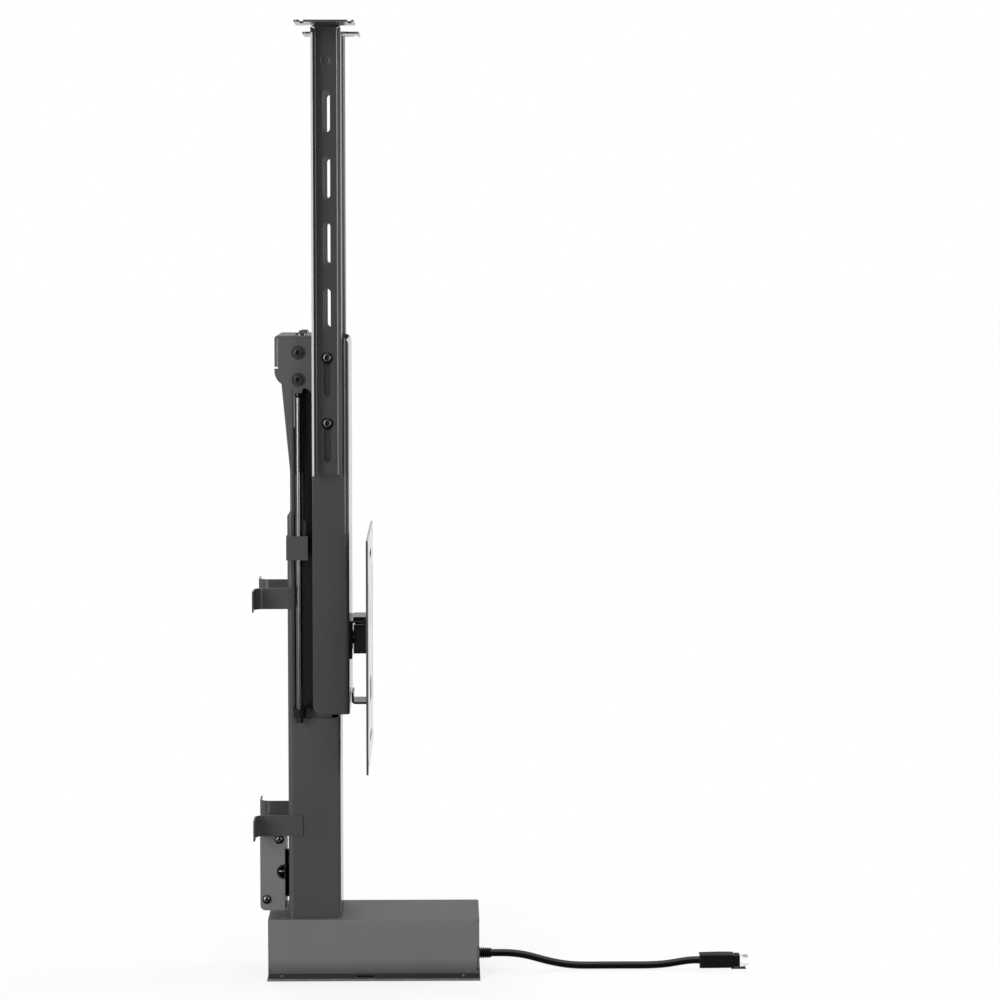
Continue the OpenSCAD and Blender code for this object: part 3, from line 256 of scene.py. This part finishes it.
def powder_coat(name, shade, rough=0.16, rounding=EDGE, painted_shade_below=None, arm=False):
    """Powder coat: fine grain with lighter specks, orange peel and a faint cloudiness. The shade given for
    the foot is painted as shade on the foot's strip above the floor, and arm adds a painted highlight on
    the cut edges of the arms' rear flanges, and the dimples in their webs."""
    f = Finish(name)
    normal = f.edges(rounding)
    grain, peel, cloud = f.noise(COAT_GRAIN, 2), f.noise(420, 1), f.noise(9, 3)
    colour = f.clouded(cloud.over(0.3, 0.7), shade, 0.94, 1.06)
    colour = f.blend(grain.over(0.5, 0.8) * 0.35, colour, grey(shade * 1.35))
    if painted_shade_below:
        # Painted shade: the cover darkens towards its lower edge, where the floor shades it
        above_painted_shade = f.place().axis("Z").over(PAINTED_SHADE_TOP - PAINTED_SHADE_DEPTH, PAINTED_SHADE_TOP)
        colour = f.blend(above_painted_shade, grey(painted_shade_below), colour)
    if arm:
        # Painted highlight on the cut edges of the arms' rear flanges
        colour = f.blend(flange_edge_highlight(f), colour, grey(0.5))
        normal = f.bump(dimple_ring(f), 0.5, DIMPLE_DEPTH, normal)
    return f.surface(
        Base_Color=colour, Roughness=f.varied(rough, 0.08, cloud), Specular_IOR_Level=0.5,
        Normal=f.bump(grain * 0.3 + peel, 0.12, COAT_BUMP, normal))


def floor_plate_coat(name, shade):
    """The foot's floor plate: its upstand is painted black as the shade in the gap under the cover, and its
    rim is rubbed light.
    """
    f = Finish(name)
    grain = f.noise(COAT_GRAIN, 2)
    rim = 1 - f.place().axis("Z").over(RIM_TOP, RIM_TOP + 0.4 * MM)
    rubbed = f.clouded(f.noise(60, 3).over(0.35, 0.65), shade, 0.9, 1.25)
    return f.surface(
        # Painted shade: black on the upstand above the rim
        Base_Color=f.blend(rim, grey(0.004), rubbed), Roughness=0.35 + 0.1 * grain,
        Normal=f.bump(grain, 0.12, COAT_BUMP, f.edges(EDGE)))


def moulded(name, shade, rough=0.3, specular=0.3, rounding=0.15 * MM):
    """Moulded plastic with a spark-eroded grain."""
    f = Finish(name)
    grain, cloud = f.noise(2600, 3), f.noise(30, 2)
    return f.surface(
        Base_Color=f.clouded(cloud, shade, 0.8, 1.25),
        Roughness=f.varied(rough, 0.1, cloud), Specular_IOR_Level=specular,
        Normal=f.bump(grain, 0.1, 0.06 * MM, f.edges(rounding)))


def blackened(name, shade, rough, metal=1.0, grain_height=0.05 * MM):
    """Blackened steel under oil: dark, with crisp lights, and painted black inside a screw's socket as
    shade.
    """
    f = Finish(name)
    grain, cloud = f.noise(1800, 2), f.noise(60, 2)
    painted_socket_shade = f.node("ShaderNodeAttribute", {"attribute_name": "socket"}, out="Fac")
    head = 1 - painted_socket_shade
    return f.surface(
        # Painted shade: black inside the socket, without metal or sheen
        Base_Color=f.blend(painted_socket_shade, f.clouded(cloud, shade, 0.85, 1.15), grey(0.002)),
        Metallic=metal * head, Roughness=f.varied(rough, 0.08, cloud) * head + 0.9 * painted_socket_shade,
        Specular_IOR_Level=0.6,
        Normal=f.bump(grain, 0.08, grain_height, f.edges(0.3 * MM)))


def bare_metal(name, shade, rough=0.3, warm=0.0):
    """Zinc plated or turned metal with a fine brushed grain."""
    f = Finish(name)
    stretched = f.node("ShaderNodeMapping", {}, {"Vector": f.place(), "Scale": (900, 900, 60)})
    grain, cloud = f.noise(1, 2, stretched), f.noise(40, 2)
    return f.surface(
        Base_Color=f.clouded(cloud, shade, 0.85, 1.1, warm), Metallic=1.0,
        Roughness=f.varied(rough, 0.1, grain), Normal=f.bump(grain, 0.15, 0.05 * MM, f.edges(0.4 * MM)))


def clear_moulding(name):
    """Clear polycarbonate, lightly clouded."""
    f = Finish(name)
    cloud = f.noise(200, 2)
    return f.surface(
        Base_Color=f.blend(cloud, (0.93, 0.94, 0.95, 1), (0.98, 0.99, 1, 1)), Roughness=0.06,
        Transmission_Weight=0.9, IOR=1.2, Alpha=0.55 - 0.1 * cloud)


def circuit_board(name):
    """Green board with lighter tracks. It stands upright, so the tracks are turned to its face."""
    f = Finish(name)
    upright = f.node("ShaderNodeMapping", {}, {"Vector": f.place(), "Rotation": (0, math.pi / 2, 0)})
    tracks = f.node("ShaderNodeTexBrick", {}, {
        "Vector": upright, "Scale": 260.0, "Mortar Size": 0.05, "Color1": (0.02, 0.09, 0.04, 1),
        "Color2": (0.025, 0.12, 0.05, 1), "Mortar": (0.05, 0.2, 0.08, 1)})
    return f.surface(Base_Color=tracks, Roughness=0.35, Normal=f.bump(f.noise(400, 2), 0.1, 0.1 * MM))


FINISHES = {
    "dark_paint": powder_coat("dark_paint", DARK),
    "foot_paint": powder_coat("foot_paint", FOOT, 0.28, painted_shade_below=FOOT * 0.35),
    "black_plastic": moulded("black_plastic", 0.003),
    "black_steel": blackened("black_steel", 0.12, 0.16),
    "black_rod": blackened("black_rod", 0.14, 0.2, grain_height=0.01 * MM),
    "bare_steel": bare_metal("bare_steel", 0.5),
    "aluminium": bare_metal("aluminium", 0.6, 0.4),
    "motor_case": powder_coat("motor_case", 0.03, 0.35),
    "brass": bare_metal("brass", 0.45, warm=0.35),
    "board": circuit_board("board"),
    "belt_rubber": moulded("belt_rubber", 0.008, 0.7, 0.2),
    "cord_jacket": moulded("cord_jacket", 0.003, 0.14, 0.8),
    "clear_plastic": clear_moulding("clear_plastic"),
}
BLACK_STEEL = FINISHES["black_steel"]
CHEEK_STEEL = blackened("cheek_screw_steel", DARK * 0.7, 0.2, metal=0.0)
# The arms' paint: a copy of the dark paint, darker where the lamps light it more, with painted highlights
# on its flange edges
ARM_PAINT_WITH_PAINTED_LIGHT = powder_coat("arm_paint", DARK * 0.95, 0.2, arm=True)
# Nodes whose coat differs a little from that of their slot. The arms, carriage and plate take copies of the
# dark paint painted darker or lighter as light falls on them, and the inner column's paint is darkened as
# painted shade
OWN_FINISH = {
    "base_floor_plate": floor_plate_coat("floor_plate_paint", FOOT),
    "control_box_cover": powder_coat("box_paint", FOOT * 1.02, 0.28),
    "control_box_base": powder_coat("box_tray_paint", DARK, 0.28),
    "lid_arm_left": ARM_PAINT_WITH_PAINTED_LIGHT,
    "lid_arm_right": ARM_PAINT_WITH_PAINTED_LIGHT,
    "outer_column": powder_coat("column_paint", DARK, rounding=1.5 * MM),
    # Painted shade: the inner column is darkened to look deep in its recess
    "inner_column": powder_coat("inner_column_painted_shade", DARK * 0.3),
    "television_plate": powder_coat("plate_paint", DARK * 1.1, 0.1),
    "carriage_shell": powder_coat("carriage_paint", DARK * 0.9, 0.14, rounding=1 * MM),
    "rod_feet": moulded("rod_foot_black", 0.004, 0.35, 0.25),
    "rod_nuts": moulded("rod_nut_black", 0.005),
    "head_bracket": powder_coat("bracket_paint", DARK, 0.3, rounding=0.3 * MM),
    "head_washers": powder_coat("washer_paint", DARK * 0.55),
    "base_screws": bare_metal("foot_screw_zinc", 0.15, 0.35),
    "connector": moulded("connector_black", 0.006, 0.16, 0.5, 1.0 * MM),
}
for part in frame["record"]["subparts"]:
    coats = frame["nodes"][part["node"]].data.materials
    coats.clear()
    coats.append(OWN_FINISH.get(part["node"], FINISHES[part["material_slot"]]))

# Making pieces
SHARP = math.radians(32)        # edges over this angle stay sharp
FAR = 9.0       # further out than any corner, in metres


def add_piece(name, mesh, slot, body=None, coat=None):
    """A new piece in a slot's finish, or a coat of its own, riding on a body, or on none yet."""
    piece = bpy.data.objects.new(name, mesh)
    scene.collection.objects.link(piece)
    mesh.materials.clear()
    mesh.materials.append(coat or FINISHES[slot])
    if body:
        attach(piece, body)
    return piece


def tidy(mesh):
    """Merges doubles, turns the faces outwards and keeps sharp edges sharp."""
    work = bmesh.new()
    work.from_mesh(mesh)
    bmesh.ops.remove_doubles(work, verts=work.verts, dist=0.0001 * MM)
    bmesh.ops.recalc_face_normals(work, faces=work.faces)
    work.to_mesh(mesh)
    work.free()
    mesh.shade_smooth()
    mesh.set_sharp_from_angle(angle=SHARP)
    return mesh


def mesh_of(name, rings):
    """A skin over rings of as many points each, capped at both ends."""
    mesh = bpy.data.meshes.new(name)
    count = len(rings[0])
    points = [point for ring in rings for point in ring]
    faces = []
    for start in range(0, len(points) - count, count):
        for k in range(count):
            after = (k + 1) % count
            faces.append((start + k, start + after, start + count + after, start + count + k))
    faces.append(tuple(reversed(range(count))))
    faces.append(tuple(range(len(points) - count, len(points))))
    mesh.from_pydata(points, [], faces)
    return tidy(mesh)


def joined(name, meshes):
    """One mesh from several."""
    work = bmesh.new()
    for mesh in meshes:
        work.from_mesh(mesh)
    whole = bpy.data.meshes.new(name)
    work.to_mesh(whole)
    work.free()
    whole.shade_smooth()
    whole.set_sharp_from_angle(angle=SHARP)
    return whole


def circle(count):
    """The cosine and the sine of each of a circle's points."""
    return [(math.cos(FULL_TURN * k / count), math.sin(FULL_TURN * k / count)) for k in range(count)]


def solids_of(node):
    """The low and high corners of each separate solid of a CAD node, in a fixed order."""
    work = bmesh.new()
    work.from_mesh(frame["nodes"][node].data)
    bmesh.ops.remove_doubles(work, verts=work.verts, dist=0.001 * MM)
    left, found = set(work.verts), []
    while left:
        reached, low, high = [left.pop()], Vector((FAR, FAR, FAR)), Vector((-FAR, -FAR, -FAR))
        while reached:
            vert = reached.pop()
            low = Vector(map(min, low, vert.co))
            high = Vector(map(max, high, vert.co))
            for edge in vert.link_edges:
                other = edge.other_vert(vert)
                if other in left:
                    left.remove(other)
                    reached.append(other)
        found.append((low, high))
    work.free()
    return sorted(found, key=lambda box: [round(v, 5) for v in (*box[0], *box[1])])


# The lead's route from the strain relief to the connector, in millimetres, as in the part's source
LEAD_ROUTE = [
    (169, 16.5), (180, 16.5), (190, 16), (200, 14.6), (210, 12.2), (220, 9.4), (230, 7),
    (240, 5.2), (250, 4.2), (260, 3.9), (275, 3.9), (290, 3.9), (305, 3.9),
    (318, 3.9), (330, 4.3), (340, 5.2), (350, 6.8), (358, 8), (364, 8.6), (371, 8.7)]
ROUTE_STEPS = 2     # points on the curve for each stretch of the route
LEAD_D = 7.3 * MM
RELIEF_REACH = 12.5 * MM        # how far the strain relief stands out of the foot
PANEL_T = 1.2 * MM      # the depth of the groove that grips the foot's panel
RIBS, RIB_PITCH, RIB_SHRINK = 6, 2 * MM, 0.12 * MM      # each rib is smaller than the last by the third
RIB_L, RIB_BEVEL_L, RIB_BEVEL_R = 1.4 * MM, 0.25 * MM, 0.3 * MM
NECK_R, NECK_GAP = 4.2 * MM, 0.05 * MM      # the neck between the ribs, and how far it keeps from them


def smooth_route():
    """Points on the same smooth curve as the part's source."""
    route = []
    last = len(LEAD_ROUTE) - 1
    for i in range(last):
        p0, p1 = LEAD_ROUTE[max(i - 1, 0)], LEAD_ROUTE[i]
        p2, p3 = LEAD_ROUTE[i + 1], LEAD_ROUTE[min(i + 2, last)]
        for k in range(ROUTE_STEPS):
            u = k / ROUTE_STEPS
            route.append([0.5 * (2 * b + (c - a) * u + (2 * a - 5 * b + 4 * c - d) * u * u
                                 + (3 * b - a - 3 * c + d) * u ** 3)
                          for a, b, c, d in zip(p0, p1, p2, p3)])
    route.append(LEAD_ROUTE[-1])
    return [Vector((x * MM, 0, z * MM)) for x, z in route]


def make_relief():
    """The strain relief: a flange inside the foot, a groove for its panel, and ribs that grow smaller
    towards the lead."""
    low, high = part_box("strain_relief")
    centre_z, wide = (low.z + high.z) / 2, (high.z - low.z) / 2
    face_x, groove_r = high.x - RELIEF_REACH, LEAD_D / 2 + 0.5 * MM
    steps = [(low.x, wide), (face_x - PANEL_T, wide), (face_x - PANEL_T, groove_r), (face_x, groove_r)]
    for i in range(RIBS):
        x0, top = face_x + i * RIB_PITCH, wide - RIB_SHRINK * i
        x1 = x0 + RIB_L
        steps += [(x0, top - RIB_BEVEL_R), (x0 + RIB_BEVEL_L, top), (x1 - RIB_BEVEL_L, top),
                  (x1, top - RIB_BEVEL_R), (x1 + NECK_GAP, NECK_R), (x0 + RIB_PITCH - NECK_GAP, NECK_R)]
    steps[-1:] = [(high.x, NECK_R), (high.x, LEAD_D / 2)]
    rings = [[(x, r * c, centre_z + r * s) for c, s in circle(40)] for x, r in steps]
    relief = add_piece("ribbed_relief", mesh_of("ribbed_relief", rings), "black_plastic", "base")
    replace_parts(relief, "strain_relief")
    return relief


def make_lead():
    route = smooth_route()
    curve = bpy.data.curves.new("lead", "CURVE")
    curve.dimensions = "3D"
    curve.bevel_depth = LEAD_D / 2
    curve.bevel_resolution = 6
    curve.use_fill_caps = True
    spline = curve.splines.new("POLY")
    spline.points.add(len(route) - 1)
    for point, at in zip(spline.points, route):
        point.co = (*at, 1)
    spline.use_smooth = True
    lead = add_piece("lead", curve, "cord_jacket", "base")
    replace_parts(lead, "cord")
    make_relief()


make_lead()

# Screws, whose radii are shares of the head's diameter and whose heights are shares of its height
ROUND, HEXAGON = False, True
SCREW_SIDES, DOME_STEPS = 36, 7
SOCKET_LOW, SOCKET_HIGH = 0.1, 0.98     # between these heights a screw's middle is inside its socket


def turned(name, steps):
    """A turned screw of diameter 1 about Z. Each step is a radius, a height and whether it is a hexagon.
    Inside its socket the attribute named socket is 1, and there the finish paints shade."""
    rings = []
    for radius, height, hexagon in steps:
        ring = []
        for k in range(SCREW_SIDES):
            angle = FULL_TURN * k / SCREW_SIDES
            reach = radius
            if hexagon:
                reach /= math.cos((angle + math.pi / 6) % (math.pi / 3) - math.pi / 6)
            ring.append((reach * math.cos(angle), reach * math.sin(angle), height))
        rings.append(ring)
    mesh = mesh_of(name, rings)
    socket_r = 1.2 * max(radius for radius, height, hexagon in steps if hexagon)
    painted_socket_shade = mesh.attributes.new("socket", "FLOAT", "POINT")
    for vert in mesh.vertices:
        inside = vert.co.xy.length < socket_r and SOCKET_LOW < vert.co.z < SOCKET_HIGH
        painted_socket_shade.data[vert.index].value = inside
    return mesh


def dome(inner, rim):
    """Steps of a button head's dome, from its flat top out to its rim."""
    angles = [k / DOME_STEPS * math.pi / 2 for k in range(1, DOME_STEPS + 1)]
    return [(inner + (0.5 - inner) * math.sin(angle), rim + (1 - rim) * math.cos(angle), ROUND)
            for angle in angles]


SHANK = [(0.5, 0.04, ROUND), (0.48, 0, ROUND), (0.27, 0, ROUND), (0.27, -2.2, ROUND), (0.22, -2.35, ROUND)]
BUTTON_SCREW = turned("button_screw", [
    (0.04, 0.38, ROUND), (0.19, 0.38, HEXAGON), (0.19, 0.96, HEXAGON), (0.23, 1, ROUND), (0.26, 1, ROUND),
    *dome(0.26, 0.12), *SHANK])
WIDE_SOCKET_SCREW = turned("wide_socket_screw", [
    (0.04, 0.5, ROUND), (0.06, 0.15, ROUND), (0.3, 0.15, HEXAGON), (0.31, 0.97, HEXAGON), (0.37, 1, ROUND),
    *dome(0.38, 0.2), *SHANK])
SMALL_SOCKET_SCREW = turned("small_socket_screw", [
    (0.04, 0.5, ROUND), (0.13, 0.5, HEXAGON), (0.13, 0.96, HEXAGON), (0.15, 1, ROUND),
    *dome(0.16, 0.1), *SHANK])


def screw_tree():
    """Sets a screw on every point, turned to where the point faces, each at its own turn."""
    group = bpy.data.node_groups.new("screws", "GeometryNodeTree")
    for name, kind in (("Seats", "Geometry"), ("Screw", "Object"), ("Head diameter", "Float"),
                       ("Head height", "Float"), ("Finish", "Material")):
        group.interface.new_socket(name=name, in_out="INPUT", socket_type="NodeSocket" + kind)
    group.interface.new_socket(name="Screws", in_out="OUTPUT", socket_type="NodeSocketGeometry")
    t = Tree(group)

    def given(name):
        return t.node("NodeGroupInput", out=name)

    facing = t.node("GeometryNodeInputNamedAttribute", {"data_type": "FLOAT_VECTOR"}, {"Name": "facing"})
    upright = t.node("FunctionNodeAlignRotationToVector", {"axis": "Z"}, {"Vector": facing})
    turn = t.node("FunctionNodeRandomValue", {"data_type": "FLOAT"}, {2: 0.0, 3: FULL_TURN, "Seed": 5}, 1)
    about = t.node("ShaderNodeCombineXYZ", {}, {"Z": turn})
    spin = t.node("FunctionNodeEulerToRotation", {}, {0: about})
    rotation = t.node("FunctionNodeRotateRotation", {"rotation_space": "LOCAL"}, {0: upright, 1: spin})
    size = t.node("ShaderNodeCombineXYZ", {}, {
        "X": given("Head diameter"), "Y": given("Head diameter"), "Z": given("Head height")})
    screw = t.node("GeometryNodeObjectInfo", {}, {0: given("Screw")}, "Geometry")
    copies = t.node("GeometryNodeInstanceOnPoints", {}, {
        "Points": given("Seats"), "Instance": screw, "Rotation": rotation, "Scale": size})
    real = t.node("GeometryNodeRealizeInstances", {}, {0: copies})
    coated = t.node("GeometryNodeSetMaterial", {}, {"Geometry": real, "Material": given("Finish")})
    t.node("NodeGroupOutput", {}, {0: coated})
    return group


SCREW_TREE = screw_tree()


def seats_of(node, head_h, along):
    """Where the heads of a node's screws sit, and which way they face: up, or outwards in Y."""
    seats, facing = [], []
    for low, high in solids_of(node):
        middle = (low + high) / 2
        if along == "Z":
            seats.append((middle.x, middle.y, high.z - head_h))
            facing.append((0, 0, 1))
        else:
            side = 1 if middle.y > 0 else -1
            outer = high.y if side > 0 else low.y
            seats.append((middle.x, outer - side * head_h, middle.z))
            facing.append((0, side, 0))
    return seats, facing


def make_screws(name, node, body, screw, head_d, head_h, along, coat):
    """Replaces a CAD node's screws with finely made ones."""
    seats, facing = seats_of(node, head_h, along)
    mesh = bpy.data.meshes.new(name + "_seats")
    mesh.from_pydata(seats, [], [])
    mesh.attributes.new("facing", "FLOAT_VECTOR", "POINT").data.foreach_set(
        "vector", [value for way in facing for value in way])
    carrier = bpy.data.objects.new(name + "_seats", mesh)
    pattern = bpy.data.objects.new(name + "_pattern", screw)
    for helper in (carrier, pattern):
        scene.collection.objects.link(helper)
    modifier = carrier.modifiers.new("screws", "NODES")
    modifier.node_group = SCREW_TREE
    values = {"Screw": pattern, "Head diameter": head_d, "Head height": head_h, "Finish": coat}
    for socket in SCREW_TREE.interface.items_tree:
        if socket.name in values:
            modifier[socket.identifier] = values[socket.name]
    shape = bpy.data.meshes.new_from_object(carrier.evaluated_get(bpy.context.evaluated_depsgraph_get()))
    for helper in (carrier, pattern):
        bpy.data.objects.remove(helper)
    shape.name = name
    if "facing" in shape.attributes:
        shape.attributes.remove(shape.attributes["facing"])
    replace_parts(add_piece(name, tidy(shape), "black_steel", body, coat), node)


# Each set of screws: its name, node and body, the screw, its head's diameter and height in millimetres,
# its axis and its coat
for name, node, body, screw, head_d, head_h, along, coat in (
        ("arm_button_screws", "arm_screws", "carriage", BUTTON_SCREW, 10.6, 3.3, "Y", BLACK_STEEL),
        ("cheek_screws", "head_screws", "inner_column", WIDE_SOCKET_SCREW, 8, 3.2, "Y", CHEEK_STEEL),
        ("head_top_bolts", "head_bolt", "inner_column", BUTTON_SCREW, 10, 3.2, "Z", BLACK_STEEL),
        ("box_cover_screws", "control_box_screws", "base", SMALL_SOCKET_SCREW, 9, 3.2, "Y", BLACK_STEEL)):
    make_screws(name, node, body, screw, head_d * MM, head_h * MM, along, coat)

# Belts
BELT_T, TOOTH_H, TOOTH_PITCH = 1.4 * MM, 0.6 * MM, 3 * MM
# A tooth's outline: shares of the pitch and of the tooth's height
TOOTH = [(0, 0), (0.3, 0), (0.4, 1), (0.8, 1), (0.9, 0)]


def belt_run(name, length, line, low_y, high_y):
    """A toothed belt. line gives, at a length along it, a point on its back and the way in, in X and Z."""
    profile = [((i + share) * TOOTH_PITCH, height)
               for i in range(int(length / TOOTH_PITCH)) for share, height in TOOTH]
    rings = []
    for at, height in profile + [(length, 0)]:
        (x, z), (nx, nz) = line(at)
        deep = BELT_T - TOOTH_H * (1 - height)
        inner_x, inner_z = x + nx * deep, z + nz * deep
        rings.append([(x, low_y, z), (x, high_y, z), (inner_x, high_y, inner_z), (inner_x, low_y, inner_z)])
    return mesh_of(name, rings)


def make_belts():
    """Each belt: fixed to the column, over its pulley, whose axis is at X = 0, and down to the carriage."""
    fixed, lifting = solids_of("fixed_belts"), solids_of("lifting_belts")
    fixed_low, lifting_low, top = fixed[0][0].z, lifting[0][0].z, fixed[0][1].z
    back, front = fixed[0][0].x, lifting[0][1].x
    radius = front
    sides = [(low.y, high.y) for low, high in fixed]

    def rear(at):
        return (back, fixed_low + at), (1, 0)

    def over(at):
        c, s = math.cos(at / radius), math.sin(at / radius)
        return (-radius * c, top + radius * s), (c, -s)

    def fore(at):
        return (front, top - at), (-1, 0)

    # The straight runs stretch between the body that holds them and the pulleys' body
    for name, node, held_by, length, line in (
            ("fixed_belt_runs", "fixed_belts", "base", top - fixed_low, rear),
            ("belt_wraps", None, None, math.pi * radius, over),
            ("lifting_belt_runs", "lifting_belts", "carriage", top - lifting_low, fore)):
        mesh = joined(name, [belt_run(name, length, line, *side) for side in sides])
        belt = add_piece(name, mesh, "belt_rubber", None if node else "inner_column")
        if node:
            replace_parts(belt, node)
            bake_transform(belt)


make_belts()


# The grommet and the cable that shows in it
def make_grommet():
    """The grommet's open ring, with a rounded lip."""
    low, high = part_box("cable_grommet")
    radius, centre_z = (high.z - low.z) / 2, (low.z + high.z) / 2
    centre_x = low.x + radius
    face_y, wall, lip = low.y, 3 * MM, 1.6 * MM
    open_angle = math.acos((high.x - centre_x) / radius)
    section = [(radius - lip, face_y + wall), (radius - lip, face_y + 0.3 * MM),
               (radius - 0.7 * lip, face_y), (radius - 0.25 * lip, face_y + 0.1 * MM),
               (radius, face_y + 0.6 * MM), (radius, face_y + wall)]
    steps = 28
    rings = []
    for k in range(steps + 1):
        angle = open_angle + (FULL_TURN - 2 * open_angle) * k / steps
        rings.append([(centre_x + r * math.cos(angle), y, centre_z + r * math.sin(angle))
                      for r, y in section])
    ring = add_piece("grommet_ring", mesh_of("grommet_ring", rings), "black_plastic", "base")
    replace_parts(ring, "cable_grommet")


def make_motor_cable():
    """The motor's cable, which comes out of the column and bends into the grommet."""
    low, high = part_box("cable_grommet")
    centre_z, cable_r = (low.z + high.z) / 2, 2.3 * MM
    route = [(high.x - back * MM, low.y + deep * MM)
             for back, deep in ((0, 3.6), (5, 3.6), (9, 5), (12, 8))]
    rings = []
    for i, (x, y) in enumerate(route):
        (x0, y0), (x1, y1) = route[max(i - 1, 0)], route[min(i + 1, len(route) - 1)]
        along = Vector((x1 - x0, y1 - y0)).normalized()
        rings.append([(x - along.y * cable_r * c, y + along.x * cable_r * c, centre_z + cable_r * s)
                      for c, s in circle(20)])
    add_piece("motor_cable", mesh_of("motor_cable", rings), "cord_jacket", "base")


make_grommet()
make_motor_cable()

# The connector's contacts, in the slots of its clear tip
CONTACTS, CONTACT_PITCH = 8, 1.1 * MM
CONTACT_W, CONTACT_H, CONTACT_L = 0.5 * MM, 1.1 * MM, 4.6 * MM


def make_contacts():
    low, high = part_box("connector_tip")
    x1, z1 = high.x - 0.4 * MM, high.z - 0.15 * MM
    x0, z0, corner = x1 - CONTACT_L, z1 - CONTACT_H, z1 - 0.4 * MM
    outline = [(x0, z0), (x1, z0), (x1, corner), (x1 - 0.5 * MM, z1), (x0 + 0.5 * MM, z1), (x0, corner)]
    blades = []
    for i in range(CONTACTS):
        y = (low.y + high.y) / 2 + (i - (CONTACTS - 1) / 2) * CONTACT_PITCH
        blades.append(mesh_of("blade", [
            [(x, y + side * CONTACT_W / 2, z) for x, z in outline] for side in (-1, 1)]))
    add_piece("contacts", joined("contacts", blades), "aluminium", "base")


make_contacts()

# Studio
FLOOR_REACH = 30        # metres from the lift to the floor's edges
FLOOR_SHADE = 0.6       # of the floor's paper, to all rays but the camera's
WHITE_NEAR, WHITE_FAR = 0.8, 0.995      # the share of pure white, near the lift and far from it
SHADOW_NEAR, SHADOW_FAR = 0.12, 0.6     # between these distances the shadow fades, in metres
FRONT_AMBIENT, BACK_AMBIENT = 0.15, 0.75        # the light on dull surfaces, from before and behind
# How bright the studio's parts are in reflections: all of it before the lift, and its soft boxes
FRONT_LEVEL, STRIP_LEVEL, WALL_LEVEL, OVERHEAD_LEVEL = 0.02, 1.3, 0.7, 0.9
LAMP_TARGET = Vector((0, 0, 0.45))


def make_floor():
    """White to the camera, with a faint shadow near the lift. Reflections see the studio past it."""
    mesh = bpy.data.meshes.new("floor")
    corners = [(x * FLOOR_REACH, y * FLOOR_REACH, 0) for x, y in ((-1, -1), (1, -1), (1, 1), (-1, 1))]
    mesh.from_pydata(corners, [], [(0, 1, 2, 3)])
    floor = bpy.data.objects.new("floor", mesh)
    scene.collection.objects.link(floor)
    f = Finish("floor")
    camera, glossy, clear = f.rays()
    paper = f.node("ShaderNodeBsdfDiffuse", {}, {"Color": f.blend(camera, grey(FLOOR_SHADE), grey(1))})
    near = f.distance((0.05, 0, 0), (1, 0.8, 1))
    share = WHITE_NEAR + (WHITE_FAR - WHITE_NEAR) * near.over(SHADOW_NEAR, SHADOW_FAR)
    white = f.node("ShaderNodeEmission", {}, {"Color": grey(1), "Strength": 1.0})
    open_air = f.node("ShaderNodeBsdfTransparent")
    seen = f.node("ShaderNodeMixShader", {}, {0: camera.above(clear) * share, 1: paper, 2: white})
    mixed = f.node("ShaderNodeMixShader", {}, {0: glossy, 1: seen, 2: open_air})
    f.node("ShaderNodeOutputMaterial", {}, {"Surface": mixed})
    mesh.materials.append(f.material)


def make_world():
    """White to the camera. In reflections it is white behind the lift and dark before it, with a soft
    strip at the front left, a soft wall at the left and a soft box overhead. The light that falls on
    dull surfaces is weaker at the front than at the back. Each part lies between directions, given as
    parts of a unit vector, or for the strip as a slope, and fades from the one to the other."""
    world = bpy.data.worlds.new("studio")
    scene.world = world
    world.use_nodes = True
    t = Tree(world.node_tree)
    camera, glossy, clear = t.rays()
    x, y, z = (t.node("ShaderNodeTexCoord", out="Generated").axis(name) for name in "XYZ")
    level_with = 1 - z.unsigned().over(0.4, 0.55)
    behind = y.over(0.0, 0.6) * (1 - 0.92 * z.over(0.06, 0.2)) * x.over(-0.3, -0.08)
    slope = x / (-1 * y).above(0.05)
    across = slope.over(-0.6, -0.45) * (1 - slope.over(-0.14, -0.08))
    strip = STRIP_LEVEL * across * (-1 * y).over(0.1, 0.3) * level_with
    wall = WALL_LEVEL * (-1 * x).over(0.7, 0.85) * level_with
    overhead = OVERHEAD_LEVEL * z.over(0.55, 0.8)
    mirrored = behind.above(strip).above(wall.above(overhead)).above(FRONT_LEVEL)
    white = camera.above(clear)
    soft = FRONT_AMBIENT + (BACK_AMBIENT - FRONT_AMBIENT) * y.over(-0.4, 0.4)
    level = white + (1 - white) * (glossy * mirrored + (1 - glossy) * soft)
    light = t.node("ShaderNodeBackground", {}, {"Color": grey(1), "Strength": level})
    t.node("ShaderNodeOutputWorld", {}, {"Surface": light})


def add_lamp(name, place, size, watts):
    data = bpy.data.lights.new(name, "AREA")
    data.shape = "RECTANGLE"
    data.size, data.size_y = size
    data.energy = watts
    lamp = bpy.data.objects.new(name, data)
    scene.collection.objects.link(lamp)
    lamp.location = place
    lamp.rotation_mode = "QUATERNION"
    lamp.rotation_quaternion = (LAMP_TARGET - Vector(place)).to_track_quat("-Z", "Y")


make_floor()
make_world()
add_lamp("key", (-2.1, -3.5, 1.2), (1.7, 2.2), 120)
add_lamp("fill", (2.1, -3.6, 1.0), (1.4, 2.0), 45)
add_lamp("side", (3.4, 0.6, 1.6), (1.5, 2.0), 55)
add_lamp("rear", (-1.2, 3.2, 2.6), (1.5, 1.5), 45)
scene.view_settings.view_transform = "Standard"
